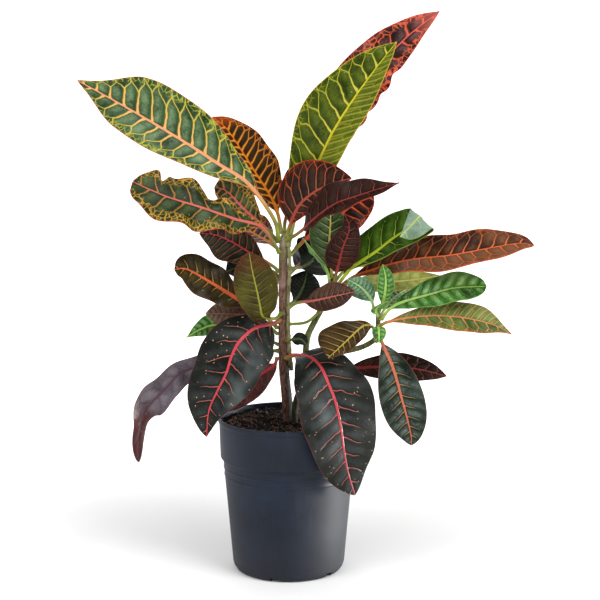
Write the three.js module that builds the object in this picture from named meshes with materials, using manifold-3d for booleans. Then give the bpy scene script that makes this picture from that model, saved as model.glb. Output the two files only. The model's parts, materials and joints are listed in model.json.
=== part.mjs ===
// A croton in a nursery pot: the pot, the soil in it, two rooted stems with a side shoot,
// and the leaves, each seated on the stem that carries it.
// Millimetres, +Z up, origin at the centre of the pot's underside.

import * as THREE from "three";
import { mergeVertices } from "three/addons/utils/BufferGeometryUtils.js";
import Module from "manifold-3d";

const wasm = await Module();
wasm.setup();

// Driving dimensions
const RIM_RADIUS = 70;
const POT_HEIGHT = 153;
const WALL = 1.4;
const BAND_DEPTH = 40;
const BASE_RADIUS = 50.5;
const BODY_INSET = 4.8;
const BAND_INSET = { foot: 2.2, top: 0.9 };
const SEAT_GAP = 0.3;
const POT_SIDES = 36;
const STEM_SIDES = 8;
const STEM_STEP = 9;
const SCAR_SWELL = 1.04;

// Foot of the pot
const PAD_RADIUS = 18;
const FOOT_INNER_RADIUS = 46;
const FLOOR_LIFT = 5;
const DRAIN_COUNT = 6;
const DRAIN_RADIUS = 4;
const DRAIN_CIRCLE = 33;
const DRAIN_SIDES = 12;
const DRAIN_TURN = 0.27;
const NOTCH_WIDTH = 9;
const NOTCH_HEIGHT = 4;

// Soil surface
const SOIL_LEVEL = 143;
const SOIL_DOME = 5;
const SOIL_TILT = 0.045;
const SOIL_RINGS = [1, 0.86, 0.72, 0.58, 0.44, 0.3, 0.16, 0.04];

// Leaf section: thickness at the margin and at the midrib, and the stalk's radius
const MARGIN_THICKNESS = 0.7;
const RIB_THICKNESS = 1.7;
const STALK_RADIUS = 1.1;
const STALK_SHARE = 0.014;
const COLUMNS = [-1, -0.55, 0, 0.55, 1];
const FINE_COLUMNS = [-1, -0.8, -0.6, -0.4, -0.2, 0, 0.2, 0.4, 0.6, 0.8, 1];
const TIP_HALF_WIDTH = 0.6;
const RIPPLE_SHIFT = 0.9;

// Rate at which a blade opens out of its stalk, over its length, and how far its
// sections crowd towards its two ends
const OPENING = 7;
const END_CROWDING = 0.07;

// Growing tip of a stem: where its rounding starts, as a share of the length, and how far it closes
const BUD_START = 0.96;
const BUD_CLOSURE = 0.12;

// Colours and roughness of the pot, the soil and the bark
const POT_COLOUR = 0x2b303f;
const SOIL_COLOUR = 0x1a1310;
const BARK_COLOUR = 0x6a4c3c;
const SHEEN = { pot: 0.5, soil: 0.95, bark: 0.8, leaf: 0.38 };

// Colours of the leaf kinds
const COLOURS = {
  blue_green: 0x4c6152,
  lime_green: 0x55701f,
  fresh_green: 0x3f8a3c,
  pale_green: 0x9cb07f,
  dark_orange: 0x5b2e12,
  dark_pink: 0x26282c,
  red_pink: 0x5d2a26,
  maroon: 0x40191b,
  olive: 0x4a4718,
  brown_orange: 0x6b3a1c,
  purple_grey: 0x4a3f48,
  red_underside: 0x5a1d22,
  black_green: 0x171c17,
};

// Stems: routes of the axes, from the root end to the growing tip
const STEMS = {
  main: {
    route: [[4, 4, 92], [2, 3, 125], [0, 1, 150], [-2, 0, 175], [-4, 0, 195], [-5, 0, 218],
      [-5, 0, 240], [-5, 0, 265], [-5, 0, 290], [-5, 0, 314], [-4, 0, 338]],
    root_radius: 5.8,
    tip_radius: 4.3,
  },
  second: {
    route: [[6, -10, 98], [6, -9, 135], [7, -9, 166], [12, -10, 184], [16, -10, 210], [19, -9, 235],
      [27, -9, 252], [38, -9, 274], [45, -10, 297]],
    root_radius: 3.6,
    tip_radius: 2.8,
  },
  shoot: {
    route: [[15, -10, 204], [29, -10, 216], [51, -13, 220], [72, -17, 226], [85, -20, 235],
      [87, -21, 247], [87, -20, 264]],
    root_radius: 2.8,
    tip_radius: 2.5,
  },
};

// Form that a leaf has where its own entry says nothing else
const LEAF_FORM = { fold: 12, cup: -11, wave: 1, waves: 2, base: 0.95, tip: 0.85, skew: 1, lean: 0 };

// Leaves: the stem and height that carry them, the stalk's length, the blade's width, the way
// that the upper face looks (azimuth and elevation) and the midrib's route to the tip
const LEAVES = [
  { name: "leaf_top_left", stem: "main", height: 329, stalk: 48, width: 64, face: [-95, 25],
    colour: "blue_green", fold: 14, cup: -8, wave: 2, waves: 3, base: 1.15, tip: 0.78, skew: 1.18,
    lean: -0.05,
    route: [[-14, -8, 350], [-38, -16, 384], [-67, -24, 404], [-102, -30, 427], [-147, -34, 454],
      [-198, -28, 482]] },
  { name: "leaf_top_upright", stem: "main", height: 335, stalk: 22, width: 52, face: [-60, 5],
    colour: "dark_orange", fold: 30, cup: -10, wave: 2, waves: 3, base: 0.9, tip: 0.95,
    route: [[-11, 9, 356], [-20, 14, 374], [-33, 17, 394], [-48, 17, 418], [-61, 15, 437],
      [-74, 12, 448]] },
  { name: "leaf_top_right", stem: "main", height: 335, stalk: 30, width: 70, face: [-120, 5],
    colour: "lime_green", fold: 30, cup: -6, wave: 2, waves: 2.5, base: 0.85, tip: 0.95, skew: 0.92,
    route: [[8, 0, 363], [18, -3, 384], [29, -6, 404], [43, -8, 433], [61, -8, 462], [82, -6, 491],
      [104, 0, 519]] },
  { name: "leaf_top_right_rear", stem: "main", height: 322, stalk: 50, width: 54, face: [-85, 5],
    colour: "red_pink", fold: 15, cup: -8, wave: 4, waves: 5, base: 0.9, tip: 0.9, skew: 0.82,
    route: [[10, 14, 362], [26, 24, 401], [48, 32, 440], [69, 34, 472], [88, 32, 496], [105, 28, 515],
      [121, 22, 530], [146, 14, 549]] },
  { name: "leaf_crown_maroon", stem: "main", height: 333, stalk: 14, width: 46, face: [-110, 5],
    colour: "maroon", fold: 10, wave: 2, base: 0.8, tip: 0.9, skew: 0.62,
    route: [[2, -8, 345], [11, -17, 364], [25, -26, 377], [41, -33, 385], [60, -37, 391]] },
  { name: "leaf_crown_maroon_long", stem: "main", height: 329, stalk: 27, width: 40, face: [-105, 40],
    colour: "maroon", fold: 30, cup: -8, wave: 2, waves: 3, base: 0.8, tip: 1.1,
    route: [[12, -20, 339], [31, -41, 357], [46, -53, 368], [58, -61, 373], [81, -68, 381],
      [103, -69, 388]] },
  { name: "leaf_crown_rear_right", stem: "main", height: 312, stalk: 24, width: 46, face: [-80, 20],
    colour: "dark_orange", wave: 2, tip: 0.6,
    route: [[21, 16, 332], [43, 26, 344], [63, 32, 360], [85, 34, 370]] },
  { name: "leaf_left_crumpled", stem: "main", height: 317, stalk: 30, width: 52, face: [-95, 35],
    colour: "blue_green", fold: 8, cup: -18, wave: 6, waves: 3.5, base: 1, tip: 0.45,
    route: [[-13, -9, 325], [-26, -18, 343], [-52, -32, 352], [-80, -44, 363], [-110, -52, 373],
      [-131, -55, 382], [-144, -54, 388]] },
  { name: "leaf_left_inner", stem: "main", height: 327, stalk: 22, width: 36, face: [-100, 20],
    colour: "dark_pink", fold: 16, wave: 2, base: 1, tip: 0.6,
    route: [[-18, -2, 337], [-26, -4, 344], [-43, -9, 360], [-59, -13, 377], [-71, -14, 381]] },
  { name: "leaf_left_drooping", stem: "main", height: 297, stalk: 20, width: 42, face: [-110, -5],
    colour: "dark_pink", fold: 26, wave: 2,
    route: [[-12, -2, 301], [-23, -5, 309], [-39, -9, 319], [-55, -14, 329], [-70, -20, 336],
      [-85, -26, 338]] },
  { name: "leaf_left_small_dark", stem: "main", height: 291, stalk: 14, width: 34, face: [-90, 30],
    colour: "black_green", fold: 16, cup: -14,
    route: [[-16, 5, 298], [-30, 4, 301], [-45, 1, 303], [-61, -4, 298]] },
  { name: "leaf_left_olive", stem: "main", height: 242, stalk: 36, width: 42, face: [-90, 40],
    colour: "olive", cup: -14, wave: 2, waves: 2.5, base: 0.8, tip: 0.5,
    route: [[-24, 2, 254], [-48, -6, 270], [-75, -18, 289], [-97, -28, 303], [-109, -30, 303]] },
  { name: "leaf_centre_olive", stem: "main", height: 257, stalk: 22, width: 42, face: [-88, 10],
    colour: "olive", fold: 14, cup: -14, waves: 2.5, base: 0.85, tip: 0.65,
    route: [[-13, -18, 254], [-24, -30, 258], [-27, -35, 270], [-30, -37, 285], [-34, -38, 303],
      [-37, -36, 320]] },
  { name: "leaf_left_brown", stem: "main", height: 236, stalk: 30, width: 28, face: [-90, 30],
    colour: "brown_orange", fold: 16, cup: -14,
    route: [[-26, 3, 249], [-49, 0, 255], [-81, -6, 257]] },
  { name: "leaf_left_curled_green", stem: "main", height: 225, stalk: 40, width: 24, face: [-90, 30],
    colour: "fresh_green", fold: 14, tip: 1.2,
    route: [[-26, 10, 232], [-48, 12, 239], [-73, 10, 243], [-88, 6, 239], [-101, 2, 232]] },
  { name: "leaf_low_left", stem: "main", height: 250, stalk: 12, width: 68, face: [-95, 15],
    colour: "dark_pink", fold: 8, cup: -12, wave: 2, waves: 3, base: 0.6, tip: 0.9, skew: 0.95, lean: 0.15,
    route: [[-14, -10, 248], [-32, -22, 245], [-46, -34, 235], [-54, -40, 221], [-59, -43, 205],
      [-67, -44, 189], [-76, -42, 168], [-79, -36, 141]] },
  { name: "leaf_low_left_hanging", stem: "main", height: 219, stalk: 44, width: 32, face: [-100, 45],
    colour: "purple_grey", fold: 10, cup: -14, base: 0.6, tip: 0.6,
    curl: { turn: 120, from: 0.48, to: 0.78 }, steps: 14,
    route: [[-39, 14, 215], [-69, 14, 209], [-92, 8, 201], [-108, 2, 195], [-120, -4, 183],
      [-133, -10, 171], [-142, -12, 160], [-147, -12, 142], [-149, -10, 125], [-149, -6, 108]] },
  { name: "leaf_low_left_red_underside", stem: "main", height: 212, stalk: 5, width: 34, face: [80, 10],
    colour: "red_underside", cup: -14,
    route: [[-15, 2, 203], [-32, 6, 191], [-49, 10, 175], [-63, 12, 155]] },
  { name: "leaf_low_right", stem: "main", height: 213, stalk: 16, width: 76, face: [-72, 12],
    colour: "dark_pink", fold: 8, cup: -12, wave: 3, waves: 3, base: 0.75, tip: 0.8,
    route: [[5, -14, 217], [20, -28, 218], [31, -42, 211], [39, -52, 195], [45, -58, 180],
      [50, -62, 157], [53, -63, 135], [57, -60, 113], [64, -54, 88]] },
  { name: "leaf_centre_rear", stem: "main", height: 301, stalk: 20, width: 50, face: [-90, 10],
    colour: "black_green", cup: -12,
    route: [[8, 14, 300], [19, 26, 302], [30, 38, 314], [37, 46, 334]] },
  { name: "leaf_centre_brown", stem: "main", height: 262, stalk: 20, width: 30, face: [-95, 30],
    colour: "brown_orange", fold: 14,
    route: [[9, -8, 268], [25, -16, 271], [45, -27, 277], [64, -33, 282]] },
  { name: "leaf_centre_withered", stem: "main", height: 230, stalk: 6, width: 13, face: [-90, 20],
    colour: "black_green", wave: 0,
    route: [[8, -13, 233], [13, -16, 233], [18, -18, 228]] },
  { name: "leaf_right_pale", stem: "main", height: 246, stalk: 72, width: 26, face: [-90, 45],
    colour: "pale_green",
    route: [[18, -14, 250], [32, -18, 262], [50, -14, 274], [72, 0, 284], [95, 6, 286], [122, 10, 288],
      [150, 12, 292]] },
  { name: "leaf_mid_upright_green", stem: "second", height: 293, stalk: 10, width: 40, face: [-100, 10],
    colour: "lime_green", fold: 20,
    route: [[42, -13, 304], [40, -14, 315], [40, -14, 331], [41, -14, 348], [41, -11, 364]] },
  { name: "leaf_mid_maroon", stem: "second", height: 289, stalk: 12, width: 34, face: [-85, 10],
    colour: "maroon", fold: 26, base: 0.8, tip: 1.1,
    route: [[48, -23, 306], [52, -36, 325], [58, -42, 344], [53, -41, 358]] },
  { name: "leaf_mid_narrow", stem: "second", height: 288, stalk: 8, width: 18, face: [-150, 20],
    colour: "fresh_green", fold: 20,
    route: [[36, -21, 305], [25, -30, 320], [14, -32, 334]] },
  { name: "leaf_mid_folded_tip", stem: "second", height: 281, stalk: 20, width: 46, face: [-95, 38],
    colour: "lime_green", fold: 8, cup: -8, base: 0.95, tip: 0.75, skew: 0.85, lean: 0.33,
    crease: { at: 0.72, turn: -15, bend: 165, radius: 4 }, steps: 28,
    route: [[59, -24, 302], [69, -29, 310], [85, -37, 322], [99, -43, 334], [113, -49, 344],
      [127, -54, 355], [152, -59, 374]] },
  { name: "leaf_right_long_brown", stem: "second", height: 279, stalk: 24, width: 42, face: [-90, 40],
    colour: "brown_orange", wave: 2, waves: 3, base: 0.9, tip: 0.7, skew: 0.85,
    route: [[62, -10, 293], [82, -14, 301], [104, -25, 309], [125, -43, 315], [147, -58, 319],
      [166, -66, 323], [189, -70, 328], [214, -70, 332], [228, -69, 330]] },
  { name: "leaf_low_right_maroon", stem: "second", height: 199, stalk: 40, width: 30, face: [-90, 35],
    colour: "maroon", waves: 2.5,
    route: [[36, -8, 201], [57, -12, 203], [89, -18, 206], [123, -22, 205], [154, -22, 198]] },
  { name: "leaf_shoot_long_green", stem: "shoot", height: 254, stalk: 14, width: 34, face: [-92, 40],
    colour: "fresh_green", fold: 14, waves: 3, base: 0.9, tip: 0.5,
    route: [[98, -28, 265], [111, -37, 273], [134, -46, 281], [157, -52, 288], [187, -54, 290]] },
  { name: "leaf_shoot_orange_margin", stem: "shoot", height: 248, stalk: 14, width: 33, face: [-90, 40],
    colour: "blue_green", fold: 14, waves: 3, base: 1.2, tip: 0.8,
    route: [[97, -37, 254], [122, -48, 260], [145, -55, 262], [169, -58, 260], [193, -58, 254],
      [211, -56, 245]] },
  { name: "leaf_shoot_glaucous", stem: "shoot", height: 261, stalk: 10, width: 24, face: [-120, 20],
    colour: "pale_green", fold: 18,
    route: [[80, -22, 274], [70, -25, 286], [57, -29, 294]] },
  { name: "leaf_shoot_upright", stem: "shoot", height: 262, stalk: 10, width: 17, face: [-85, 5],
    colour: "fresh_green", fold: 18,
    route: [[92, -33, 278], [93, -38, 295], [90, -37, 309]] },
  { name: "leaf_shoot_young_top", stem: "shoot", height: 257, stalk: 4, width: 13, face: [-90, 20],
    colour: "fresh_green", fold: 18, wave: 0,
    route: [[84, -34, 266], [90, -41, 272], [95, -44, 275]] },
  { name: "leaf_shoot_young_low", stem: "shoot", height: 246, stalk: 5, width: 14, face: [-90, 10],
    colour: "fresh_green", fold: 18, wave: 0,
    route: [[87, -33, 247], [87, -39, 243], [87, -41, 234]] },
  { name: "leaf_shoot_olive", stem: "shoot", height: 239, stalk: 12, width: 34, face: [-95, 25],
    colour: "olive", cup: -14, wave: 2, waves: 2.5, skew: 1.4, tip: 0.6, lean: 0.22,
    route: [[81, -30, 248], [73, -37, 250], [65, -43, 245], [56, -47, 237], [47, -50, 229],
      [38, -52, 221]] },
  { name: "leaf_shoot_hanging", stem: "shoot", height: 233, stalk: 12, width: 43, face: [-100, 15],
    colour: "dark_pink", waves: 3, tip: 0.75,
    route: [[89, -30, 235], [93, -36, 227], [99, -43, 214], [104, -47, 199], [108, -49, 184],
      [113, -49, 166], [118, -45, 146], [119, -42, 134]] },
  { name: "leaf_rear_crown_right", stem: "main", height: 332, stalk: 28, width: 50, face: [-90, 45],
    colour: "maroon", wave: 2,
    route: [[-2, 28, 350], [14, 55, 374], [29, 80, 394], [43, 98, 406]] },
  { name: "leaf_rear_crown_left", stem: "main", height: 317, stalk: 28, width: 46, face: [-90, 50],
    colour: "dark_orange", wave: 2,
    route: [[-19, 32, 323], [-38, 62, 331], [-55, 90, 342], [-64, 104, 347]] },
  { name: "leaf_rear_upper", stem: "main", height: 290, stalk: 30, width: 48, face: [-90, 50],
    colour: "dark_pink", wave: 2,
    route: [[9, 36, 299], [27, 70, 308], [43, 100, 314], [54, 118, 316]] },
  { name: "leaf_rear_left", stem: "main", height: 273, stalk: 28, width: 46, face: [-90, 50],
    colour: "olive", wave: 2,
    route: [[-17, 36, 275], [-30, 66, 277], [-41, 92, 276], [-48, 106, 272]] },
  { name: "leaf_rear_centre", stem: "main", height: 262, stalk: 14, width: 34, face: [-90, 5],
    colour: "black_green", wave: 2,
    route: [[2, 12, 264], [9, 19, 270], [15, 24, 281], [19, 27, 296]] },
  { name: "leaf_rear_low_left", stem: "main", height: 217, stalk: 28, width: 52, face: [-90, 50],
    colour: "dark_pink", wave: 2,
    route: [[-19, 32, 214], [-38, 66, 208], [-54, 92, 195], [-66, 106, 177]] },
  { name: "leaf_rear_low_right", stem: "second", height: 195, stalk: 26, width: 52, face: [-90, 40],
    colour: "dark_pink", wave: 2,
    route: [[28, 24, 191], [44, 54, 179], [60, 80, 159], [67, 94, 136]] },
  { name: "leaf_rear_mid", stem: "second", height: 288, stalk: 20, width: 42, face: [-90, 45],
    colour: "lime_green", wave: 2,
    route: [[60, 14, 303], [76, 40, 314], [90, 66, 320]] },
  { name: "leaf_rear_right", stem: "second", height: 274, stalk: 40, width: 32, face: [-90, 50],
    colour: "brown_orange", wave: 2,
    route: [[76, 20, 295], [113, 48, 306], [156, 72, 314], [189, 88, 315]] },
  { name: "leaf_rear_shoot", stem: "shoot", height: 254, stalk: 14, width: 24, face: [-90, 50],
    colour: "fresh_green",
    route: [[98, 4, 265], [112, 30, 272], [126, 54, 276]] },
];

// Small helpers

function mix(from, to, share) {
  return from + (to - from) * share;
}

function ease(share) {
  const t = THREE.MathUtils.clamp(share, 0, 1);
  return t * t * (3 - 2 * t);
}

function curveThrough(points) {
  return new THREE.CatmullRomCurve3(points, false, "catmullrom", 0.5);
}

function vectors(list) {
  return list.map((point) => new THREE.Vector3(...point));
}

// A closed skin over rings that all have the same even number of points. The quads of the
// second half of each ring are split the other way, so that a blade's two faces match.
function loft(rings) {
  const sides = rings[0].length;
  const half = sides / 2;
  const index = [];
  for (let ring = 0; ring + 1 < rings.length; ring += 1) {
    for (let side = 0; side < sides; side += 1) {
      const a = ring * sides + side;
      const b = ring * sides + ((side + 1) % sides);
      const c = b + sides;
      const d = a + sides;
      if (side < half) {
        index.push(a, b, c, a, c, d);
      } else {
        index.push(a, b, d, b, c, d);
      }
    }
  }
  const last = (rings.length - 1) * sides;
  for (let side = 0; side + 1 < half; side += 1) {
    const a = side;
    const b = side + 1;
    const c = sides - 2 - side;
    const d = sides - 1 - side;
    index.push(a, c, b, a, d, c);
    index.push(last + a, last + b, last + c, last + a, last + c, last + d);
  }
  const geometry = new THREE.BufferGeometry();
  const numbers = rings.flat().flatMap((point) => point.toArray());
  geometry.setAttribute("position", new THREE.Float32BufferAttribute(numbers, 3));
  geometry.setIndex(index);
  return geometry;
}

function circle(radius, height, sides) {
  const points = [];
  for (let side = 0; side < sides; side += 1) {
    const angle = (2 * Math.PI * side) / sides;
    points.push(new THREE.Vector3(radius * Math.cos(angle), radius * Math.sin(angle), height));
  }
  return points;
}

function solidOf(geometry) {
  const bare = geometry.clone();
  bare.deleteAttribute("normal");
  bare.deleteAttribute("uv");
  const merged = mergeVertices(bare, 1e-4);
  const vertProperties = merged.getAttribute("position").array;
  const triVerts = new Uint32Array(merged.getIndex().array);
  return new wasm.Manifold(new wasm.Mesh({ numProp: 3, vertProperties, triVerts }));
}

function geometryOf(solid) {
  const mesh = solid.getMesh();
  const geometry = new THREE.BufferGeometry();
  geometry.setAttribute("position", new THREE.Float32BufferAttribute(mesh.vertProperties, 3));
  geometry.setIndex([...mesh.triVerts]);
  return geometry;
}

// Pot: outline from the pad under the floor, up the outside and down the inside

const STEP_HEIGHT = POT_HEIGHT - BAND_DEPTH;

function bodyRadius(height) {
  return mix(BASE_RADIUS + BODY_INSET, RIM_RADIUS - BODY_INSET, height / STEP_HEIGHT);
}

function bandRadius(height) {
  const up = (height - STEP_HEIGHT) / BAND_DEPTH;
  return mix(RIM_RADIUS - BAND_INSET.foot, RIM_RADIUS - BAND_INSET.top, up);
}

function potOutside() {
  return [
    [PAD_RADIUS, 0],
    [PAD_RADIUS + 1.5, FLOOR_LIFT],
    [FOOT_INNER_RADIUS - 1.5, FLOOR_LIFT],
    [FOOT_INNER_RADIUS, 0],
    [BASE_RADIUS, 0],
    [BASE_RADIUS + 2.6, 1],
    [BASE_RADIUS + 4.2, 3.2],
    [bodyRadius(7), 7],
    [bodyRadius(STEP_HEIGHT - 3), STEP_HEIGHT - 3],
    [bodyRadius(STEP_HEIGHT) + 0.8, STEP_HEIGHT - 1],
    [bandRadius(STEP_HEIGHT) - 0.4, STEP_HEIGHT + 0.2],
    [bandRadius(STEP_HEIGHT + 2), STEP_HEIGHT + 2],
    [bandRadius(POT_HEIGHT - 5), POT_HEIGHT - 5],
    [RIM_RADIUS, POT_HEIGHT - 3.6],
    [RIM_RADIUS, POT_HEIGHT - 1],
    [RIM_RADIUS - 1, POT_HEIGHT],
  ];
}

function potInside(offset) {
  const inset = WALL + offset;
  return [
    [bandRadius(POT_HEIGHT - 8) - inset, POT_HEIGHT - 8],
    [bandRadius(STEP_HEIGHT + 4) - inset, STEP_HEIGHT + 4],
    [bodyRadius(STEP_HEIGHT) - inset, STEP_HEIGHT - 1],
    [bodyRadius(9) - inset, 9],
    [BASE_RADIUS - inset + 1, FLOOR_LIFT + WALL + offset],
  ];
}

function potGeometry() {
  const lip = [
    [RIM_RADIUS - 2.4, POT_HEIGHT],
    [RIM_RADIUS - 3, POT_HEIGHT - 1],
  ];
  const outline = [...potOutside(), ...lip, ...potInside(0)];
  let pot = solidOf(loft(outline.map(([radius, height]) => circle(radius, height, POT_SIDES))));
  for (let hole = 0; hole < DRAIN_COUNT; hole += 1) {
    const angle = (2 * Math.PI * (hole + DRAIN_TURN)) / DRAIN_COUNT;
    const drain = new THREE.CylinderGeometry(DRAIN_RADIUS, DRAIN_RADIUS, 20, DRAIN_SIDES);
    drain.rotateX(Math.PI / 2);
    drain.translate(DRAIN_CIRCLE, 0, 0);
    drain.rotateZ(angle);
    const reach = 2 * (BASE_RADIUS - FOOT_INNER_RADIUS) + 12;
    const notch = new THREE.BoxGeometry(reach, NOTCH_WIDTH, 2 * NOTCH_HEIGHT);
    notch.translate(BASE_RADIUS, 0, 0);
    notch.rotateZ(angle);
    pot = pot.subtract(solidOf(drain)).subtract(solidOf(notch));
  }
  return geometryOf(pot);
}

// Stems: round sections along the route, thicker at the root, with low rings of leaf scars

function stemRadius(stem, share) {
  const taper = mix(stem.root_radius, stem.tip_radius, share);
  const bud = Math.sqrt(Math.max(BUD_CLOSURE, 1 - ease((share - BUD_START) / (1 - BUD_START))));
  return taper * bud;
}

function stemGeometry(stem, extra) {
  const path = stem.path;
  const steps = Math.round(path.getLength() / STEM_STEP);
  const rings = [];
  for (let step = 0; step <= steps; step += 1) {
    const share = step / steps;
    const centre = path.getPointAt(share);
    const forward = path.getTangentAt(share);
    const across = new THREE.Vector3(0, 1, 0).cross(forward).normalize();
    const up = new THREE.Vector3().crossVectors(forward, across);
    const scar = step % 2 === 0 ? SCAR_SWELL : 2 - SCAR_SWELL;
    const radius = stemRadius(stem, share) * scar + extra;
    rings.push(circle(1, 0, STEM_SIDES).map((corner) => (
      centre.clone().addScaledVector(across, corner.x * radius).addScaledVector(up, corner.y * radius)
    )));
  }
  if (extra > 0) {
    const drop = path.getTangentAt(0).multiplyScalar(-extra);
    rings[0].forEach((corner) => corner.add(drop));
  }
  return loft(rings);
}

for (const stem of Object.values(STEMS)) {
  stem.path = curveThrough(vectors(stem.route));
}

function shareAtHeight(stem, height) {
  let low = 0;
  let high = 1;
  for (let turn = 0; turn < 30; turn += 1) {
    const middle = (low + high) / 2;
    if (stem.path.getPointAt(middle).z < height) {
      low = middle;
    } else {
      high = middle;
    }
  }
  return low;
}

// Soil: fills the pot up to a low dome with a crumbly top, and leaves a hole for each stem

function soilTop(x, y) {
  const dome = SOIL_DOME * (1 - (x * x + y * y) / (RIM_RADIUS * RIM_RADIUS));
  const crumbs = 1.1 * Math.sin(0.31 * x + 1.7) * Math.cos(0.27 * y)
    + 0.8 * Math.sin(0.63 * x - 0.44 * y) + 0.6 * Math.cos(0.9 * y + 0.5 * x);
  return SOIL_LEVEL + dome + SOIL_TILT * y + crumbs;
}

function soilGeometry() {
  const sides = potInside(SEAT_GAP).slice(1).reverse();
  const rings = sides.map(([radius, height]) => circle(radius, height, POT_SIDES));
  const edge = potInside(SEAT_GAP)[0][0] - 0.4;
  for (const share of SOIL_RINGS) {
    const ring = circle(edge * share, 0, POT_SIDES);
    ring.forEach((point) => point.setZ(soilTop(point.x, point.y)));
    rings.push(ring);
  }
  let soil = solidOf(loft(rings));
  for (const stem of [STEMS.main, STEMS.second]) {
    soil = soil.subtract(solidOf(stemGeometry(stem, SEAT_GAP)));
  }
  return geometryOf(soil);
}

// Leaves

function seatOf(leaf) {
  const stem = STEMS[leaf.stem];
  const share = shareAtHeight(stem, leaf.height);
  const axis = stem.path.getPointAt(share);
  const first = new THREE.Vector3(...leaf.route[0]);
  const outward = first.clone().sub(axis).setZ(0).normalize();
  const rise = first.clone().sub(axis).normalize();
  const upright = stem.path.getTangentAt(share).z;
  const bark = (stemRadius(stem, share) * SCAR_SWELL) / upright;
  const reach = bark + SEAT_GAP + stalkRadius(leaf) * Math.abs(rise.z);
  return axis.addScaledVector(outward, reach);
}

function stalkRadius(leaf) {
  return STALK_RADIUS + STALK_SHARE * leaf.width;
}

function facing([azimuth, elevation]) {
  const a = THREE.MathUtils.degToRad(azimuth);
  const e = THREE.MathUtils.degToRad(elevation);
  return new THREE.Vector3(Math.cos(e) * Math.cos(a), Math.cos(e) * Math.sin(a), Math.sin(e));
}

// Place, direction and turned axes of the leaf at a distance along its midrib
function frameAt(leaf, distance) {
  const share = THREE.MathUtils.clamp(distance / leaf.length, 0, 1);
  const centre = leaf.path.getPointAt(share);
  const forward = leaf.path.getTangentAt(share);
  const side = leaf.sideways.clone().addScaledVector(forward, -leaf.sideways.dot(forward)).normalize();
  const normal = new THREE.Vector3().crossVectors(side, forward);
  if (leaf.curl) {
    const u = (distance - leaf.stalk) / (leaf.length - leaf.stalk);
    const turned = ease((u - leaf.curl.from) / (leaf.curl.to - leaf.curl.from));
    const angle = -THREE.MathUtils.degToRad(leaf.curl.turn) * turned;
    side.applyAxisAngle(forward, angle);
    normal.applyAxisAngle(forward, angle);
  }
  return { centre, forward, side, normal };
}

// Half width of the blade at u from its base (0) to its tip (1), on one side of the midrib
function halfWidth(leaf, u, sign) {
  const rise = leaf.base + leaf.lean * sign;
  const fall = leaf.tip - leaf.lean * sign;
  const belly = rise / (rise + fall);
  const highest = belly ** rise * (1 - belly) ** fall;
  const share = (Math.max(u, 0) ** rise * Math.max(1 - u, 0) ** fall) / highest;
  const width = (leaf.width / 2) * share * (1 + sign * (leaf.skew - 1));
  return Math.max(width, mix(stalkRadius(leaf), TIP_HALF_WIDTH, ease(4 * u)));
}

// The blade folded over along a line across it, about a round crease
function creased(leaf, point) {
  const { at, turn, bend, radius } = leaf.crease;
  const { centre, forward, side, normal } = frameAt(leaf, mix(leaf.stalk, leaf.length, at));
  const angle = THREE.MathUtils.degToRad(turn);
  const onward = forward.multiplyScalar(Math.cos(angle)).addScaledVector(side, Math.sin(angle));
  const offset = point.clone().sub(centre);
  const past = offset.dot(onward);
  if (past <= 0) {
    return point;
  }
  const lift = offset.dot(normal);
  const rolled = Math.min(past / radius, THREE.MathUtils.degToRad(bend));
  const rest = past - radius * rolled;
  const along = (radius - lift) * Math.sin(rolled) + rest * Math.cos(rolled);
  const above = radius - (radius - lift) * Math.cos(rolled) + rest * Math.sin(rolled);
  return point.clone().addScaledVector(onward, along - past).addScaledVector(normal, above - lift);
}

// One ring of the leaf: the upper face from left to right, then the lower face back
function leafRing(leaf, distance) {
  const u = (distance - leaf.stalk) / (leaf.length - leaf.stalk);
  const blade = ease(OPENING * u);
  const { centre, side, normal } = frameAt(leaf, distance);
  const upper = [];
  const lower = [];
  for (const v of leaf.crease ? FINE_COLUMNS : COLUMNS) {
    const sign = v > 0 ? 1 : -1;
    const reach = Math.abs(v);
    const width = halfWidth(leaf, u, sign);
    const slope = THREE.MathUtils.degToRad(leaf.fold) * blade;
    const cup = THREE.MathUtils.degToRad(leaf.cup) * Math.max(blade, 0.001);
    const out = (Math.sin(slope + cup * reach) - Math.sin(slope)) / cup;
    const up = (Math.cos(slope) - Math.cos(slope + cup * reach)) / cup;
    const shift = v > 0 ? RIPPLE_SHIFT : 0;
    const swell = Math.sin(Math.PI * THREE.MathUtils.clamp(u, 0, 1)) ** 0.5;
    const ripple = leaf.wave * reach ** 1.5 * Math.sin(2 * Math.PI * leaf.waves * u + shift) * swell;
    const tilt = slope + cup * reach;
    const facet = normal.clone().multiplyScalar(Math.cos(tilt))
      .addScaledVector(side, -sign * Math.sin(tilt));
    const edge = mix(0.9 * stalkRadius(leaf), MARGIN_THICKNESS, blade);
    const rib = mix(2 * stalkRadius(leaf), RIB_THICKNESS * (1 - 0.5 * Math.max(u, 0)), blade);
    const shape = mix(1 - reach * reach, (1 - reach) ** 3, blade);
    const thickness = edge + (rib - edge) * shape;
    const top = mix(thickness / 2, edge / 2, blade);
    const middle = centre.clone().addScaledVector(side, sign * out * width)
      .addScaledVector(normal, up * width + ripple);
    upper.push(middle.clone().addScaledVector(facet, top));
    lower.unshift(middle.clone().addScaledVector(facet, top - thickness));
  }
  const ring = [...lower, ...upper];
  return leaf.crease ? ring.map((point) => creased(leaf, point)) : ring;
}

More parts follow.
